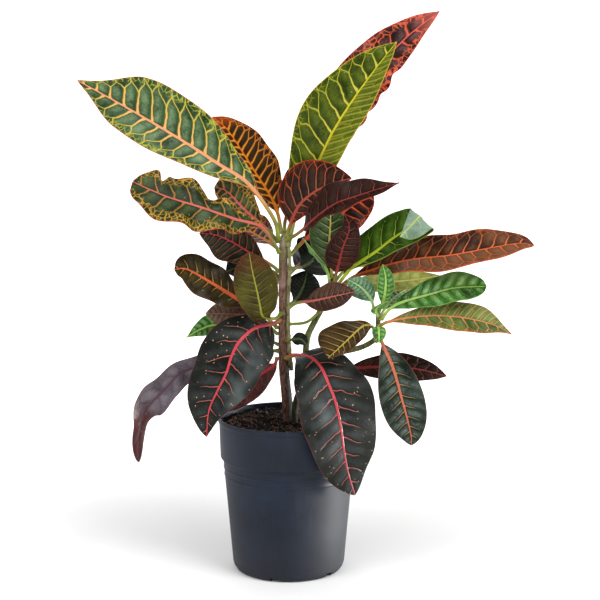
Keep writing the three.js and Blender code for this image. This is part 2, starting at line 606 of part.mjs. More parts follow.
function leafGeometry(leaf) {
  leaf.path = curveThrough([seatOf(leaf), ...vectors(leaf.route)]);
  leaf.length = leaf.path.getLength();
  const quarter = mix(leaf.stalk, leaf.length, 0.25) / leaf.length;
  const heading = leaf.path.getTangentAt(quarter);
  leaf.sideways = new THREE.Vector3().crossVectors(heading, facing(leaf.face)).normalize();
  const distances = [];
  const stalkSteps = 1 + Math.ceil(leaf.stalk / 30);
  for (let step = 0; step < stalkSteps; step += 1) {
    distances.push((leaf.stalk * step) / stalkSteps);
  }
  const bladeSteps = leaf.steps ?? Math.max(8, Math.ceil(leaf.waves * 3.2));
  for (let step = 0; step <= bladeSteps; step += 1) {
    const even = step / bladeSteps;
    const crowded = even - END_CROWDING * Math.sin(2 * Math.PI * even);
    distances.push(mix(leaf.stalk, leaf.length, crowded));
  }
  return loft(distances.map((distance) => leafRing(leaf, distance)));
}

// Scene

const croton = new THREE.Group();

function place(name, geometry, colour, roughness) {
  const material = new THREE.MeshStandardMaterial({ color: colour, roughness, metalness: 0 });
  const mesh = new THREE.Mesh(geometry, material);
  mesh.name = name;
  croton.add(mesh);
}

place("pot", potGeometry(), POT_COLOUR, SHEEN.pot);
place("soil", soilGeometry(), SOIL_COLOUR, SHEEN.soil);
place("stem_main", stemGeometry(STEMS.main, 0), BARK_COLOUR, SHEEN.bark);
const forked = solidOf(stemGeometry(STEMS.second, 0)).add(solidOf(stemGeometry(STEMS.shoot, 0)));
place("stem_second", geometryOf(forked), BARK_COLOUR, SHEEN.bark);

for (const entry of LEAVES) {
  const leaf = { ...LEAF_FORM, ...entry };
  place(leaf.name, leafGeometry(leaf), COLOURS[leaf.colour], SHEEN.leaf);
}

export default croton;
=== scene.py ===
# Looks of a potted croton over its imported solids: pot, potting mix, bark and patterned leaves.
# Shapes are worked out in millimetres, as in the part, and written to the meshes in metres.

import json
import math
import random

import bmesh
import bpy
from mathutils import Matrix, Vector, noise


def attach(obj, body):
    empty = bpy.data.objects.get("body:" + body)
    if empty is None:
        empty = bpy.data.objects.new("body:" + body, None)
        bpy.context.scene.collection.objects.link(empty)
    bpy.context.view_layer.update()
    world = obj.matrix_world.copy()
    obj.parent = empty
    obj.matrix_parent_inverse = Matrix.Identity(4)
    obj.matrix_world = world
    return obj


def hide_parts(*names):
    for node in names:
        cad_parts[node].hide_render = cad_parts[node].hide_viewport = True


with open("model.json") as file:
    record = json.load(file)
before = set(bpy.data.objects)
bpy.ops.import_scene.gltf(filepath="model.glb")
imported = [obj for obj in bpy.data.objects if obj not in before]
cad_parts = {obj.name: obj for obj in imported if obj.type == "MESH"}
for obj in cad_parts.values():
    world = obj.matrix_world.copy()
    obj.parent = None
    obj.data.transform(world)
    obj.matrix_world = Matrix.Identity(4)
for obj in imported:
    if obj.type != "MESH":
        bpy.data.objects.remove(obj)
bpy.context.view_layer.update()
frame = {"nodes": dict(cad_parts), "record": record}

MM = 0.001

# Pot, as in the part
RIM_RADIUS = 70
POT_HEIGHT = 153
WALL = 1.4
BAND_DEPTH = 40
BASE_RADIUS = 50.5
BODY_INSET = 4.8
BAND_INSET_AT_FOOT = 2.2
BAND_INSET_AT_TOP = 0.9
STEP_HEIGHT = POT_HEIGHT - BAND_DEPTH
PAD_RADIUS = 18
FOOT_INNER_RADIUS = 46
FLOOR_LIFT = 5
DRAIN_COUNT = 6
DRAIN_RADIUS = 4
DRAIN_CIRCLE = 33
DRAIN_TURN = 0.27
DRAIN_SIDES = 24
NOTCH_WIDTH = 9
NOTCH_HEIGHT = 4
RIB_LINES = [104, 96]

# Finer pot: sides, the rounding of its corners, and the turns in degrees that make a corner to round
# and an edge that is shaded hard
POT_SEGMENTS = 144
CORNER_ROUNDING = 0.35
CORNER_TURN = 18
POT_SMOOTH_TURN = 32

# Heights between which the pot's paler, greyer foot fades out
FOOT_GREY_START = 4.0
FOOT_GREY_END = 70.0

# Soil surface, as in the part
SOIL_LEVEL = 143
SOIL_DOME = 5
SOIL_TILT = 0.045
SOIL_EDGE = 66

# Finer soil: how deep its rough top reaches, the smooth rim left round it, where the stems stand, and
# the fibres and the steps of each
SOIL_TOP_DEPTH = 6
SOIL_RIM = 1.5
MAIN_FOOT = (0.5, 1)
SECOND_FOOT = (6, -9)
FIBRE_COUNT = 220
FIBRE_STEPS = 7

# Leaf section, as in the part, and the finer grid of the looks
SEAT_GAP = 0.3
SCAR_SWELL = 1.04
MARGIN_THICKNESS = 0.7
BLADE_THICKNESS = 0.62
RIB_THICKNESS = 1.7
STALK_RADIUS = 1.1
STALK_SHARE = 0.014
TIP_HALF_WIDTH = 0.6
RIPPLE_SHIFT = 0.9
OPENING = 7
BUD_START = 0.96
BUD_CLOSURE = 0.12
BLADE_COLUMNS = 22
COLUMN_SPREAD = 0.72
ROW_LENGTH = 2.2
PUFF = 0.55

# Stalk and midrib: sides, ring distance, where the midrib ends, its taper and the collar at the bark
STALK_SIDES = 10
RIB_STEP = 3.5
RIB_END = 0.985
RIB_TAPER = 0.55
COLLAR_SWELL = 0.38
COLLAR_LENGTH = 2.5

# Side veins: how far they slant and bend towards the tip, and the lead of those on one side
VEIN_LEAN = 0.5
VEIN_BEND = 0.22
VEIN_STAGGER = 0.45

# Where a drawn-out tip begins, as a share of the blade
POINT_START = 0.74

# How far apart the leaves lie in the patterns, so that no two look alike: veins, skin and crumpling
VEIN_SHIFT = 40
SKIN_SHIFT = 500
CRUMPLE_SHIFT = 7.3

# Camera and light, in metres, degrees and millimetres of lens
CAMERA_PLACE = (0.0114, -1.3, 0.4476)
CAMERA_PITCH = 7.79
CAMERA_LENS = 80.1
SENSOR_WIDTH = 36
LAMP_TARGET = (0, 0, 0.25)
SKY_STRENGTH = 0.42

# Floor that sweeps up into a backdrop, in metres
FLOOR_FRONT = -6.0
FLOOR_BACK = 3.0
FLOOR_WIDTH = 14.0
SWEEP_RADIUS = 1.5
SWEEP_STEPS = 10
BACKDROP_TOP = 6.0

# Painted shadow round the pot: the point that the glowing paper grows brighter away from, and the
# distances between which it does
GLOW_CENTRE = (0, 0.06, 0)
GLOW_START = 0.03
GLOW_FULL = 0.9

# Stems: routes of the axes from the root end to the growing tip, as in the part
STEMS = {
    "main": {
        "route": [(4, 4, 92), (2, 3, 125), (0, 1, 150), (-2, 0, 175), (-4, 0, 195), (-5, 0, 218),
                  (-5, 0, 240), (-5, 0, 265), (-5, 0, 290), (-5, 0, 314), (-4, 0, 338)],
        "root_radius": 5.8,
        "tip_radius": 4.3,
    },
    "second": {
        "route": [(6, -10, 98), (6, -9, 135), (7, -9, 166), (12, -10, 184), (16, -10, 210), (19, -9, 235),
                  (27, -9, 252), (38, -9, 274), (45, -10, 297)],
        "root_radius": 3.6,
        "tip_radius": 2.8,
    },
    "shoot": {
        "route": [(15, -10, 204), (29, -10, 216), (51, -13, 220), (72, -17, 226), (85, -20, 235),
                  (87, -21, 247), (87, -20, 264)],
        "root_radius": 2.8,
        "tip_radius": 2.5,
    },
}

# The thin stem that lies against the main one: its radius at both ends, the swelling of its knots and
# its route
SIDE_STEM_FOOT = 2.1
SIDE_STEM_TIP = 1.5
SIDE_STEM_KNOT = 0.35
SIDE_STEM = [(3, -1, 200), (1.4, -3.6, 215), (0.2, -4.4, 235), (-0.2, -4.6, 258), (0, -4.4, 276),
             (0.8, -4, 292), (1.3, -3.6, 306), (0.9, -3.2, 318), (-1, -2.4, 328)]

# Form that a leaf has where its own entry says nothing else. As in the part: the degrees of its fold
# along the midrib and of its cupped halves, the height and number of its waves, the fullness of base and
# tip, how much wider one half is, a lean of the widest place, a curl (turn, start, end) and a crease
# across the tip (place, turn, bend, radius). The looks alone have the number of side veins, the
# crumpling, a drawn-out point and bites out of the margin (place, side, depth, spread).
LEAF_FORM = {"fold": 12, "cup": -11, "wave": 1, "waves": 2, "base": 0.95, "tip": 0.85, "skew": 1, "lean": 0,
             "veins": 9, "crumple": 0, "point": 0, "bites": (), "curl": None, "crease": None}

# Leaves, as in the part, with the look of each: where the stalk leaves its stem, the stalk's length, the
# blade's width, the azimuth and elevation that its face looks in, and the route of its midrib
LEAVES = [
    {"name": "leaf_top_left", "stem": "main", "height": 329, "stalk": 48, "width": 64, "face": (-95, 25),
     "look": "blue_green", "veins": 14, "fold": 14, "cup": -8, "wave": 2, "waves": 3, "base": 1.15,
     "tip": 0.78, "skew": 1.18, "lean": -0.05, "point": 0.55,
     "route": [(-14, -8, 350), (-38, -16, 384), (-67, -24, 404), (-102, -30, 427), (-147, -34, 454),
               (-198, -28, 482)]},
    {"name": "leaf_top_upright", "stem": "main", "height": 335, "stalk": 22, "width": 52, "face": (-60, 5),
     "look": "dark_orange", "veins": 14, "fold": 30, "cup": -10, "wave": 2, "waves": 3, "base": 0.9,
     "tip": 0.95,
     "route": [(-11, 9, 356), (-20, 14, 374), (-33, 17, 394), (-48, 17, 418), (-61, 15, 437),
               (-74, 12, 448)]},
    {"name": "leaf_top_right", "stem": "main", "height": 335, "stalk": 30, "width": 70, "face": (-120, 5),
     "look": "lime_green", "veins": 12, "fold": 30, "cup": -6, "wave": 2, "waves": 2.5, "base": 0.85,
     "tip": 0.95, "skew": 0.92,
     "route": [(8, 0, 363), (18, -3, 384), (29, -6, 404), (43, -8, 433), (61, -8, 462), (82, -6, 491),
               (104, 0, 519)]},
    {"name": "leaf_top_right_rear", "stem": "main", "height": 322, "stalk": 50, "width": 54,
     "face": (-85, 5), "look": "red_pink", "veins": 12, "fold": 15, "cup": -8, "wave": 4, "waves": 5,
     "base": 0.9, "tip": 0.9, "skew": 0.82, "crumple": 1.5,
     "bites": ((0.67, 1, 0.2, 0.03), (0.57, 1, 0.12, 0.025), (0.47, 1, 0.12, 0.02), (0.38, 1, 0.1, 0.02)),
     "route": [(10, 14, 362), (26, 24, 401), (48, 32, 440), (69, 34, 472), (88, 32, 496), (105, 28, 515),
               (121, 22, 530), (146, 14, 549)]},
    {"name": "leaf_crown_maroon", "stem": "main", "height": 333, "stalk": 14, "width": 46,
     "face": (-110, 5), "look": "maroon_orange", "fold": 10, "wave": 2, "base": 0.8, "tip": 0.9,
     "skew": 0.62,
     "route": [(2, -8, 345), (11, -17, 364), (25, -26, 377), (41, -33, 385), (60, -37, 391)]},
    {"name": "leaf_crown_maroon_long", "stem": "main", "height": 329, "stalk": 27, "width": 40,
     "face": (-105, 40), "look": "maroon", "fold": 30, "cup": -8, "wave": 2, "waves": 3, "base": 0.8,
     "tip": 1.1,
     "route": [(12, -20, 339), (31, -41, 357), (46, -53, 368), (58, -61, 373), (81, -68, 381),
               (103, -69, 388)]},
    {"name": "leaf_crown_rear_right", "stem": "main", "height": 312, "stalk": 24, "width": 46,
     "face": (-80, 20), "look": "ember", "veins": 8, "wave": 2, "tip": 0.6,
     "route": [(21, 16, 332), (43, 26, 344), (63, 32, 360), (85, 34, 370)]},
    {"name": "leaf_left_crumpled", "stem": "main", "height": 317, "stalk": 30, "width": 52,
     "face": (-95, 35), "look": "mottled_green", "veins": 8, "fold": 8, "cup": -18, "wave": 6,
     "waves": 3.5, "base": 1, "tip": 0.45, "crumple": 3,
     "bites": ((0.82, 1, 0.45, 0.03), (0.42, 1, 0.3, 0.05)),
     "route": [(-13, -9, 325), (-26, -18, 343), (-52, -32, 352), (-80, -44, 363), (-110, -52, 373),
               (-131, -55, 382), (-144, -54, 388)]},
    {"name": "leaf_left_inner", "stem": "main", "height": 327, "stalk": 22, "width": 36,
     "face": (-100, 20), "look": "mottled_green", "fold": 16, "wave": 2, "base": 1, "tip": 0.6,
     "route": [(-18, -2, 337), (-26, -4, 344), (-43, -9, 360), (-59, -13, 377), (-71, -14, 381)]},
    {"name": "leaf_left_drooping", "stem": "main", "height": 297, "stalk": 20, "width": 42,
     "face": (-110, -5), "look": "dark_veined", "fold": 26, "wave": 2,
     "route": [(-12, -2, 301), (-23, -5, 309), (-39, -9, 319), (-55, -14, 329), (-70, -20, 336),
               (-85, -26, 338)]},
    {"name": "leaf_left_small_dark", "stem": "main", "height": 291, "stalk": 14, "width": 34,
     "face": (-90, 30), "look": "black_green", "fold": 16, "cup": -14,
     "route": [(-16, 5, 298), (-30, 4, 301), (-45, 1, 303), (-61, -4, 298)]},
    {"name": "leaf_left_olive", "stem": "main", "height": 242, "stalk": 36, "width": 42,
     "face": (-90, 40), "look": "olive_red", "cup": -14, "wave": 2, "waves": 2.5, "base": 0.8,
     "tip": 0.5,
     "route": [(-24, 2, 254), (-48, -6, 270), (-75, -18, 289), (-97, -28, 303), (-109, -30, 303)]},
    {"name": "leaf_centre_olive", "stem": "main", "height": 257, "stalk": 22, "width": 42,
     "face": (-88, 10), "look": "olive", "veins": 10, "fold": 14, "cup": -14, "waves": 2.5,
     "base": 0.85, "tip": 0.65,
     "route": [(-13, -18, 254), (-24, -30, 258), (-27, -35, 270), (-30, -37, 285), (-34, -38, 303),
               (-37, -36, 320)]},
    {"name": "leaf_left_brown", "stem": "main", "height": 236, "stalk": 30, "width": 28,
     "face": (-90, 30), "look": "dusky", "fold": 16, "cup": -14,
     "route": [(-26, 3, 249), (-49, 0, 255), (-81, -6, 257)]},
    {"name": "leaf_left_curled_green", "stem": "main", "height": 225, "stalk": 40, "width": 24,
     "face": (-90, 30), "look": "fresh_green", "fold": 14, "tip": 1.2,
     "route": [(-26, 10, 232), (-48, 12, 239), (-73, 10, 243), (-88, 6, 239), (-101, 2, 232)]},
    {"name": "leaf_low_left", "stem": "main", "height": 250, "stalk": 12, "width": 68,
     "face": (-95, 15), "look": "dark_pink", "fold": 8, "cup": -12, "wave": 2, "waves": 3,
     "base": 0.6, "tip": 0.9, "skew": 0.95, "lean": 0.15,
     "route": [(-14, -10, 248), (-32, -22, 245), (-46, -34, 235), (-54, -40, 221), (-59, -43, 205),
               (-67, -44, 189), (-76, -42, 168), (-79, -36, 141)]},
    {"name": "leaf_low_left_hanging", "stem": "main", "height": 219, "stalk": 44, "width": 32,
     "face": (-100, 45), "look": "purple_grey", "fold": 10, "cup": -14, "base": 0.6, "tip": 0.6,
     "curl": (120, 0.48, 0.78),
     "route": [(-39, 14, 215), (-69, 14, 209), (-92, 8, 201), (-108, 2, 195), (-120, -4, 183),
               (-133, -10, 171), (-142, -12, 160), (-147, -12, 142), (-149, -10, 125), (-149, -6, 108)]},
    {"name": "leaf_low_left_red_underside", "stem": "main", "height": 212, "stalk": 5, "width": 34,
     "face": (80, 10), "look": "dark_pink", "cup": -14,
     "route": [(-15, 2, 203), (-32, 6, 191), (-49, 10, 175), (-63, 12, 155)]},
    {"name": "leaf_low_right", "stem": "main", "height": 213, "stalk": 16, "width": 76,
     "face": (-72, 12), "look": "dark_pink", "veins": 11, "fold": 8, "cup": -12, "wave": 3, "waves": 3,
     "base": 0.75, "tip": 0.8,
     "route": [(5, -14, 217), (20, -28, 218), (31, -42, 211), (39, -52, 195), (45, -58, 180),
               (50, -62, 157), (53, -63, 135), (57, -60, 113), (64, -54, 88)]},
    {"name": "leaf_centre_rear", "stem": "main", "height": 301, "stalk": 20, "width": 50,
     "face": (-90, 10), "look": "black_green", "cup": -12,
     "route": [(8, 14, 300), (19, 26, 302), (30, 38, 314), (37, 46, 334)]},
    {"name": "leaf_centre_brown", "stem": "main", "height": 262, "stalk": 20, "width": 30,
     "face": (-95, 30), "look": "brown_pink", "fold": 14,
     "route": [(9, -8, 268), (25, -16, 271), (45, -27, 277), (64, -33, 282)]},
    {"name": "leaf_centre_withered", "stem": "main", "height": 230, "stalk": 6, "width": 13,
     "face": (-90, 20), "look": "black_green", "wave": 0, "veins": 4,
     "route": [(8, -13, 233), (13, -16, 233), (18, -18, 228)]},
    {"name": "leaf_right_pale", "stem": "main", "height": 246, "stalk": 72, "width": 26,
     "face": (-90, 45), "look": "pale_green",
     "route": [(18, -14, 250), (32, -18, 262), (50, -14, 274), (72, 0, 284), (95, 6, 286),
               (122, 10, 288), (150, 12, 292)]},
    {"name": "leaf_mid_upright_green", "stem": "second", "height": 293, "stalk": 10, "width": 40,
     "face": (-100, 10), "look": "deep_green", "veins": 8, "fold": 20,
     "route": [(42, -13, 304), (40, -14, 315), (40, -14, 331), (41, -14, 348), (41, -11, 364)]},
    {"name": "leaf_mid_maroon", "stem": "second", "height": 289, "stalk": 12, "width": 34,
     "face": (-85, 10), "look": "maroon", "fold": 26, "base": 0.8, "tip": 1.1,
     "route": [(48, -23, 306), (52, -36, 325), (58, -42, 344), (53, -41, 358)]},
    {"name": "leaf_mid_narrow", "stem": "second", "height": 288, "stalk": 8, "width": 18,
     "face": (-150, 20), "look": "fresh_green", "fold": 20,
     "route": [(36, -21, 305), (25, -30, 320), (14, -32, 334)]},
    {"name": "leaf_mid_folded_tip", "stem": "second", "height": 281, "stalk": 20, "width": 46,
     "face": (-95, 38), "look": "bright_green", "veins": 8, "fold": 8, "cup": -8, "base": 0.95,
     "tip": 0.75, "skew": 0.85, "lean": 0.33, "crease": (0.72, -15, 165, 4),
     "route": [(59, -24, 302), (69, -29, 310), (85, -37, 322), (99, -43, 334), (113, -49, 344),
               (127, -54, 355), (152, -59, 374)]},
    {"name": "leaf_right_long_brown", "stem": "second", "height": 279, "stalk": 24, "width": 42,
     "face": (-90, 40), "look": "brown_orange", "veins": 14, "wave": 2, "waves": 3, "base": 0.9,
     "tip": 0.7, "skew": 0.85,
     "route": [(62, -10, 293), (82, -14, 301), (104, -25, 309), (125, -43, 315), (147, -58, 319),
               (166, -66, 323), (189, -70, 328), (214, -70, 332), (228, -69, 330)]},
    {"name": "leaf_low_right_maroon", "stem": "second", "height": 199, "stalk": 40, "width": 30,
     "face": (-90, 35), "look": "maroon", "waves": 2.5,
     "route": [(36, -8, 201), (57, -12, 203), (89, -18, 206), (123, -22, 205), (154, -22, 198)]},
    {"name": "leaf_shoot_long_green", "stem": "shoot", "height": 254, "stalk": 14, "width": 34,
     "face": (-92, 40), "look": "fresh_green", "fold": 14, "waves": 3, "base": 0.9,
     "tip": 0.5,
     "route": [(98, -28, 265), (111, -37, 273), (134, -46, 281), (157, -52, 288), (187, -54, 290)]},
    {"name": "leaf_shoot_orange_margin", "stem": "shoot", "height": 248, "stalk": 14, "width": 33,
     "face": (-90, 40), "look": "green_orange", "veins": 11, "fold": 14, "waves": 3, "base": 1.2,
     "tip": 0.8, "point": 0.5,
     "route": [(97, -37, 254), (122, -48, 260), (145, -55, 262), (169, -58, 260), (193, -58, 254),
               (211, -56, 245)]},
    {"name": "leaf_shoot_glaucous", "stem": "shoot", "height": 261, "stalk": 10, "width": 24,
     "face": (-120, 20), "look": "glaucous", "fold": 18,
     "route": [(80, -22, 274), (70, -25, 286), (57, -29, 294)]},
    {"name": "leaf_shoot_upright", "stem": "shoot", "height": 262, "stalk": 10, "width": 17,
     "face": (-85, 5), "look": "fresh_green", "fold": 18,
     "route": [(92, -33, 278), (93, -38, 295), (90, -37, 309)]},
    {"name": "leaf_shoot_young_top", "stem": "shoot", "height": 257, "stalk": 4, "width": 13,
     "face": (-90, 20), "look": "fresh_green", "fold": 18, "wave": 0, "veins": 5,
     "route": [(84, -34, 266), (90, -41, 272), (95, -44, 275)]},
    {"name": "leaf_shoot_young_low", "stem": "shoot", "height": 246, "stalk": 5, "width": 14,
     "face": (-90, 10), "look": "fresh_green", "fold": 18, "wave": 0, "veins": 5,
     "route": [(87, -33, 247), (87, -39, 243), (87, -41, 234)]},
    {"name": "leaf_shoot_olive", "stem": "shoot", "height": 239, "stalk": 12, "width": 34,
     "face": (-95, 25), "look": "olive_yellow", "cup": -14, "wave": 2, "waves": 2.5, "skew": 1.4,
     "tip": 0.6, "lean": 0.22,
     "route": [(81, -30, 248), (73, -37, 250), (65, -43, 245), (56, -47, 237), (47, -50, 229),
               (38, -52, 221)]},
    {"name": "leaf_shoot_hanging", "stem": "shoot", "height": 233, "stalk": 12, "width": 43,
     "face": (-100, 15), "look": "green_salmon", "veins": 10, "waves": 3, "tip": 0.75,
     "route": [(89, -30, 235), (93, -36, 227), (99, -43, 214), (104, -47, 199), (108, -49, 184),
               (113, -49, 166), (118, -45, 146), (119, -42, 134)]},
    {"name": "leaf_rear_crown_right", "stem": "main", "height": 332, "stalk": 28, "width": 50,
     "face": (-90, 45), "look": "maroon", "wave": 2,
     "route": [(-2, 28, 350), (14, 55, 374), (29, 80, 394), (43, 98, 406)]},
    {"name": "leaf_rear_crown_left", "stem": "main", "height": 317, "stalk": 28, "width": 46,
     "face": (-90, 50), "look": "dark_orange", "wave": 2,
     "route": [(-19, 32, 323), (-38, 62, 331), (-55, 90, 342), (-64, 104, 347)]},
    {"name": "leaf_rear_upper", "stem": "main", "height": 290, "stalk": 30, "width": 48,
     "face": (-90, 50), "look": "dark_pink", "wave": 2,
     "route": [(9, 36, 299), (27, 70, 308), (43, 100, 314), (54, 118, 316)]},
    {"name": "leaf_rear_left", "stem": "main", "height": 273, "stalk": 28, "width": 46,
     "face": (-90, 50), "look": "olive", "wave": 2,
     "route": [(-17, 36, 275), (-30, 66, 277), (-41, 92, 276), (-48, 106, 272)]},
    {"name": "leaf_rear_centre", "stem": "main", "height": 262, "stalk": 14, "width": 34,
     "face": (-90, 5), "look": "black_green", "wave": 2,
     "route": [(2, 12, 264), (9, 19, 270), (15, 24, 281), (19, 27, 296)]},
    {"name": "leaf_rear_low_left", "stem": "main", "height": 217, "stalk": 28, "width": 52,
     "face": (-90, 50), "look": "dark_pink", "wave": 2,
     "route": [(-19, 32, 214), (-38, 66, 208), (-54, 92, 195), (-66, 106, 177)]},
    {"name": "leaf_rear_low_right", "stem": "second", "height": 195, "stalk": 26, "width": 52,
     "face": (-90, 40), "look": "green_salmon", "wave": 2,
     "route": [(28, 24, 191), (44, 54, 179), (60, 80, 159), (67, 94, 136)]},
    {"name": "leaf_rear_mid", "stem": "second", "height": 288, "stalk": 20, "width": 42,
     "face": (-90, 45), "look": "lime_green", "wave": 2,
     "route": [(60, 14, 303), (76, 40, 314), (90, 66, 320)]},
    {"name": "leaf_rear_right", "stem": "second", "height": 274, "stalk": 40, "width": 32,
     "face": (-90, 50), "look": "brown_orange", "veins": 12, "wave": 2,
     "route": [(76, 20, 295), (113, 48, 306), (156, 72, 314), (189, 88, 315)]},
    {"name": "leaf_rear_shoot", "stem": "shoot", "height": 254, "stalk": 14, "width": 24,
     "face": (-90, 50), "look": "fresh_green",
     "route": [(98, 4, 265), (112, 30, 272), (126, 54, 276)]},
]


# Numbers and curves

def mix(start, end, share):
    return start + (end - start) * share


def clamp(value):
    """The value, kept between 0 and 1."""
    return max(0.0, min(1.0, value))


def ease(share):
    """A smooth rise from 0 to 1 as the share does the same."""
    t = clamp(share)
    return t * t * (3 - 2 * t)


class Route:
    """A smooth curve through points, read by the share of its length."""

    STEPS = 240
    HEADING_STEP = 1e-4

    def __init__(self, points):
        self.points = [Vector(point) for point in points]
        self.points.insert(0, 2 * self.points[0] - self.points[1])
        self.points.append(2 * self.points[-1] - self.points[-2])
        self.samples = [self.spot(step / self.STEPS) for step in range(self.STEPS + 1)]
        self.reach = [0.0]
        for before, after in zip(self.samples, self.samples[1:]):
            self.reach.append(self.reach[-1] + (after - before).length)
        self.length = self.reach[-1]

    def spot(self, share):
        """The point at a share of the curve's own parameter."""
        spans = len(self.points) - 3
        place = clamp(share) * spans
        span = min(int(place), spans - 1)
        t = place - span
        a, b, c, d = self.points[span:span + 4]
        return (b + (c - a) * (0.5 * t) + (2 * a - 5 * b + 4 * c - d) * (0.5 * t * t)
                + (3 * b - a - 3 * c + d) * (0.5 * t * t * t))

    def parameter(self, share):
        """The curve's own parameter at a share of its length."""
        target = clamp(share) * self.length
        low, high = 0, self.STEPS
        while high - low > 1:
            middle = (low + high) // 2
            if self.reach[middle] <= target:
                low = middle
            else:
                high = middle
        rest = (target - self.reach[low]) / max(self.reach[high] - self.reach[low], 1e-9)
        return (low + rest) / self.STEPS

    def at(self, share):
        """The point at a share of the length."""
        return self.spot(self.parameter(share))

    def nearest(self, point):
        """The share of the length at the sample that is nearest to a point."""
        number = min(range(self.STEPS + 1), key=lambda step: (self.samples[step] - point).length_squared)
        return self.reach[number] / self.length

    def heading(self, share):
        """The direction of the curve at a share of the length."""
        place = self.parameter(share)
        ahead = self.spot(min(place + self.HEADING_STEP, 1))
        behind = self.spot(max(place - self.HEADING_STEP, 0))
        return (ahead - behind).normalized()


# Meshes

def as_object(name, bm):
    """A new object of the scene with the mesh that was built."""
    mesh = bpy.data.meshes.new(name)
    bm.to_mesh(mesh)
    bm.free()
    made = bpy.data.objects.new(name, mesh)
    bpy.context.scene.collection.objects.link(made)
    return made


def finished(name, bm, materials, slot, sharp=40):
    """Turns a mesh in millimetres into a piece that rides on the plant."""
    bmesh.ops.scale(bm, vec=(MM, MM, MM), verts=bm.verts)
    for face in bm.faces:
        face.smooth = True
    piece = as_object(name, bm)
    piece.data.set_sharp_from_angle(angle=math.radians(sharp))
    for material in materials:
        piece.data.materials.append(material)
    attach(piece, "root")
    return piece


def tube(bm, rings, sides, material=0):
    """Adds a round closed bar through rings of centre, two axes across and radius."""
    rows = len(rings) - 1
    made = bmesh.ops.create_grid(bm, x_segments=sides, y_segments=rows, size=1)["verts"]
    for vert in made:
        angle = math.pi * (vert.co.x + 1)
        ring = round((vert.co.y + 1) / 2 * rows)
        centre, across, up, radius = rings[ring]
        vert.co = centre + (across * math.cos(angle) + up * math.sin(angle)) * radius
    faces = {face for vert in made for face in vert.link_faces}
    for face in faces:
        face.material_index = material
    bmesh.ops.remove_doubles(bm, verts=made, dist=1e-5)
    made = list({vert for face in faces if face.is_valid for vert in face.verts})
    open_edges = {edge for vert in made for edge in vert.link_edges if edge.is_boundary}
    caps = bmesh.ops.holes_fill(bm, edges=list(open_edges), sides=0)["faces"]
    for face in caps:
        face.material_index = material
    faces |= set(caps)
    bmesh.ops.recalc_face_normals(bm, faces=[face for face in faces if face.is_valid])
    return made


def rings_along(route, radius_at, step):
    """Rings for a bar along a route, with the radius as a function of the share of its length."""
    depth = Vector((0, 1, 0))
    count = max(2, round(route.length / step))
    rings = []
    for number in range(count + 1):
        share = number / count
        forward = route.heading(share)
        across = depth.cross(forward).normalized()
        up = forward.cross(across)
        rings.append((route.at(share), across, up, radius_at(share)))
    return rings


# Stems and the seats of the leaves

def stem_radius(stem, share):
    """The stem's radius, which tapers evenly and closes in the bud at its tip."""
    taper = mix(stem["root_radius"], stem["tip_radius"], share)
    return taper * math.sqrt(max(BUD_CLOSURE, 1 - ease((share - BUD_START) / (1 - BUD_START))))


def share_at_height(stem, height):
    """The share of a stem's length at which its axis reaches a height."""
    low, high = 0.0, 1.0
    for _ in range(30):
        middle = (low + high) / 2
        if stem["path"].at(middle).z < height:
            low = middle
        else:
            high = middle
    return low


def stalk_radius(leaf):
    """The stalk's radius, which grows with the leaf's width."""
    return STALK_RADIUS + STALK_SHARE * leaf["width"]


def seat_of(leaf):
    """The point just off the bark where the stalk starts, and the stem's axis beside it."""
    stem = STEMS[leaf["stem"]]
    share = share_at_height(stem, leaf["height"])
    axis = stem["path"].at(share)
    first = Vector(leaf["route"][0])
    outward = (first - axis) * Vector((1, 1, 0))
    outward.normalize()
    rise = (first - axis).normalized()
    bark = stem_radius(stem, share) * SCAR_SWELL / stem["path"].heading(share).z
    reach = bark + SEAT_GAP + stalk_radius(leaf) * abs(rise.z)
    return axis + outward * reach, axis


# Leaves

def facing(leaf):
    """The direction that the leaf's upper face looks in, from its azimuth and elevation."""
    azimuth, elevation = (math.radians(angle) for angle in leaf["face"])
    level = math.cos(elevation)
    return Vector((level * math.cos(azimuth), level * math.sin(azimuth), math.sin(elevation)))


def frame_at(leaf, u):
    """Place, heading and turned axes of the leaf at u, from its base (0) to its tip (1)."""
    path = leaf["path"]
    distance = mix(leaf["stalk"], path.length, u)
    share = clamp(distance / path.length)
    centre = path.at(share)
    forward = path.heading(share)
    side = (leaf["sideways"] - forward * leaf["sideways"].dot(forward)).normalized()
    normal = side.cross(forward)
    if leaf["curl"]:
        turn, start, end = leaf["curl"]
        twist = Matrix.Rotation(-math.radians(turn) * ease((u - start) / (end - start)), 3, forward)
        side = twist @ side
        normal = twist @ normal
    return centre, forward, side, normal


def half_width(leaf, u, sign):
    """Half the blade's width at u, on one side of the midrib."""
    rise = leaf["base"] + leaf["lean"] * sign
    fall = leaf["tip"] - leaf["lean"] * sign
    belly = rise / (rise + fall)
    highest = belly ** rise * (1 - belly) ** fall
    share = max(u, 0) ** rise * max(1 - u, 0) ** fall / highest
    share *= 1 - leaf["point"] * ease((u - POINT_START) / (1 - POINT_START))
    width = leaf["width"] / 2 * share * (1 + sign * (leaf["skew"] - 1))
    for place, bitten, depth, spread in leaf["bites"]:
        if bitten == sign:
            width *= 1 - depth * math.exp(-((u - place) / spread) ** 2)
    return max(width, mix(stalk_radius(leaf), TIP_HALF_WIDTH, ease(4 * u)))


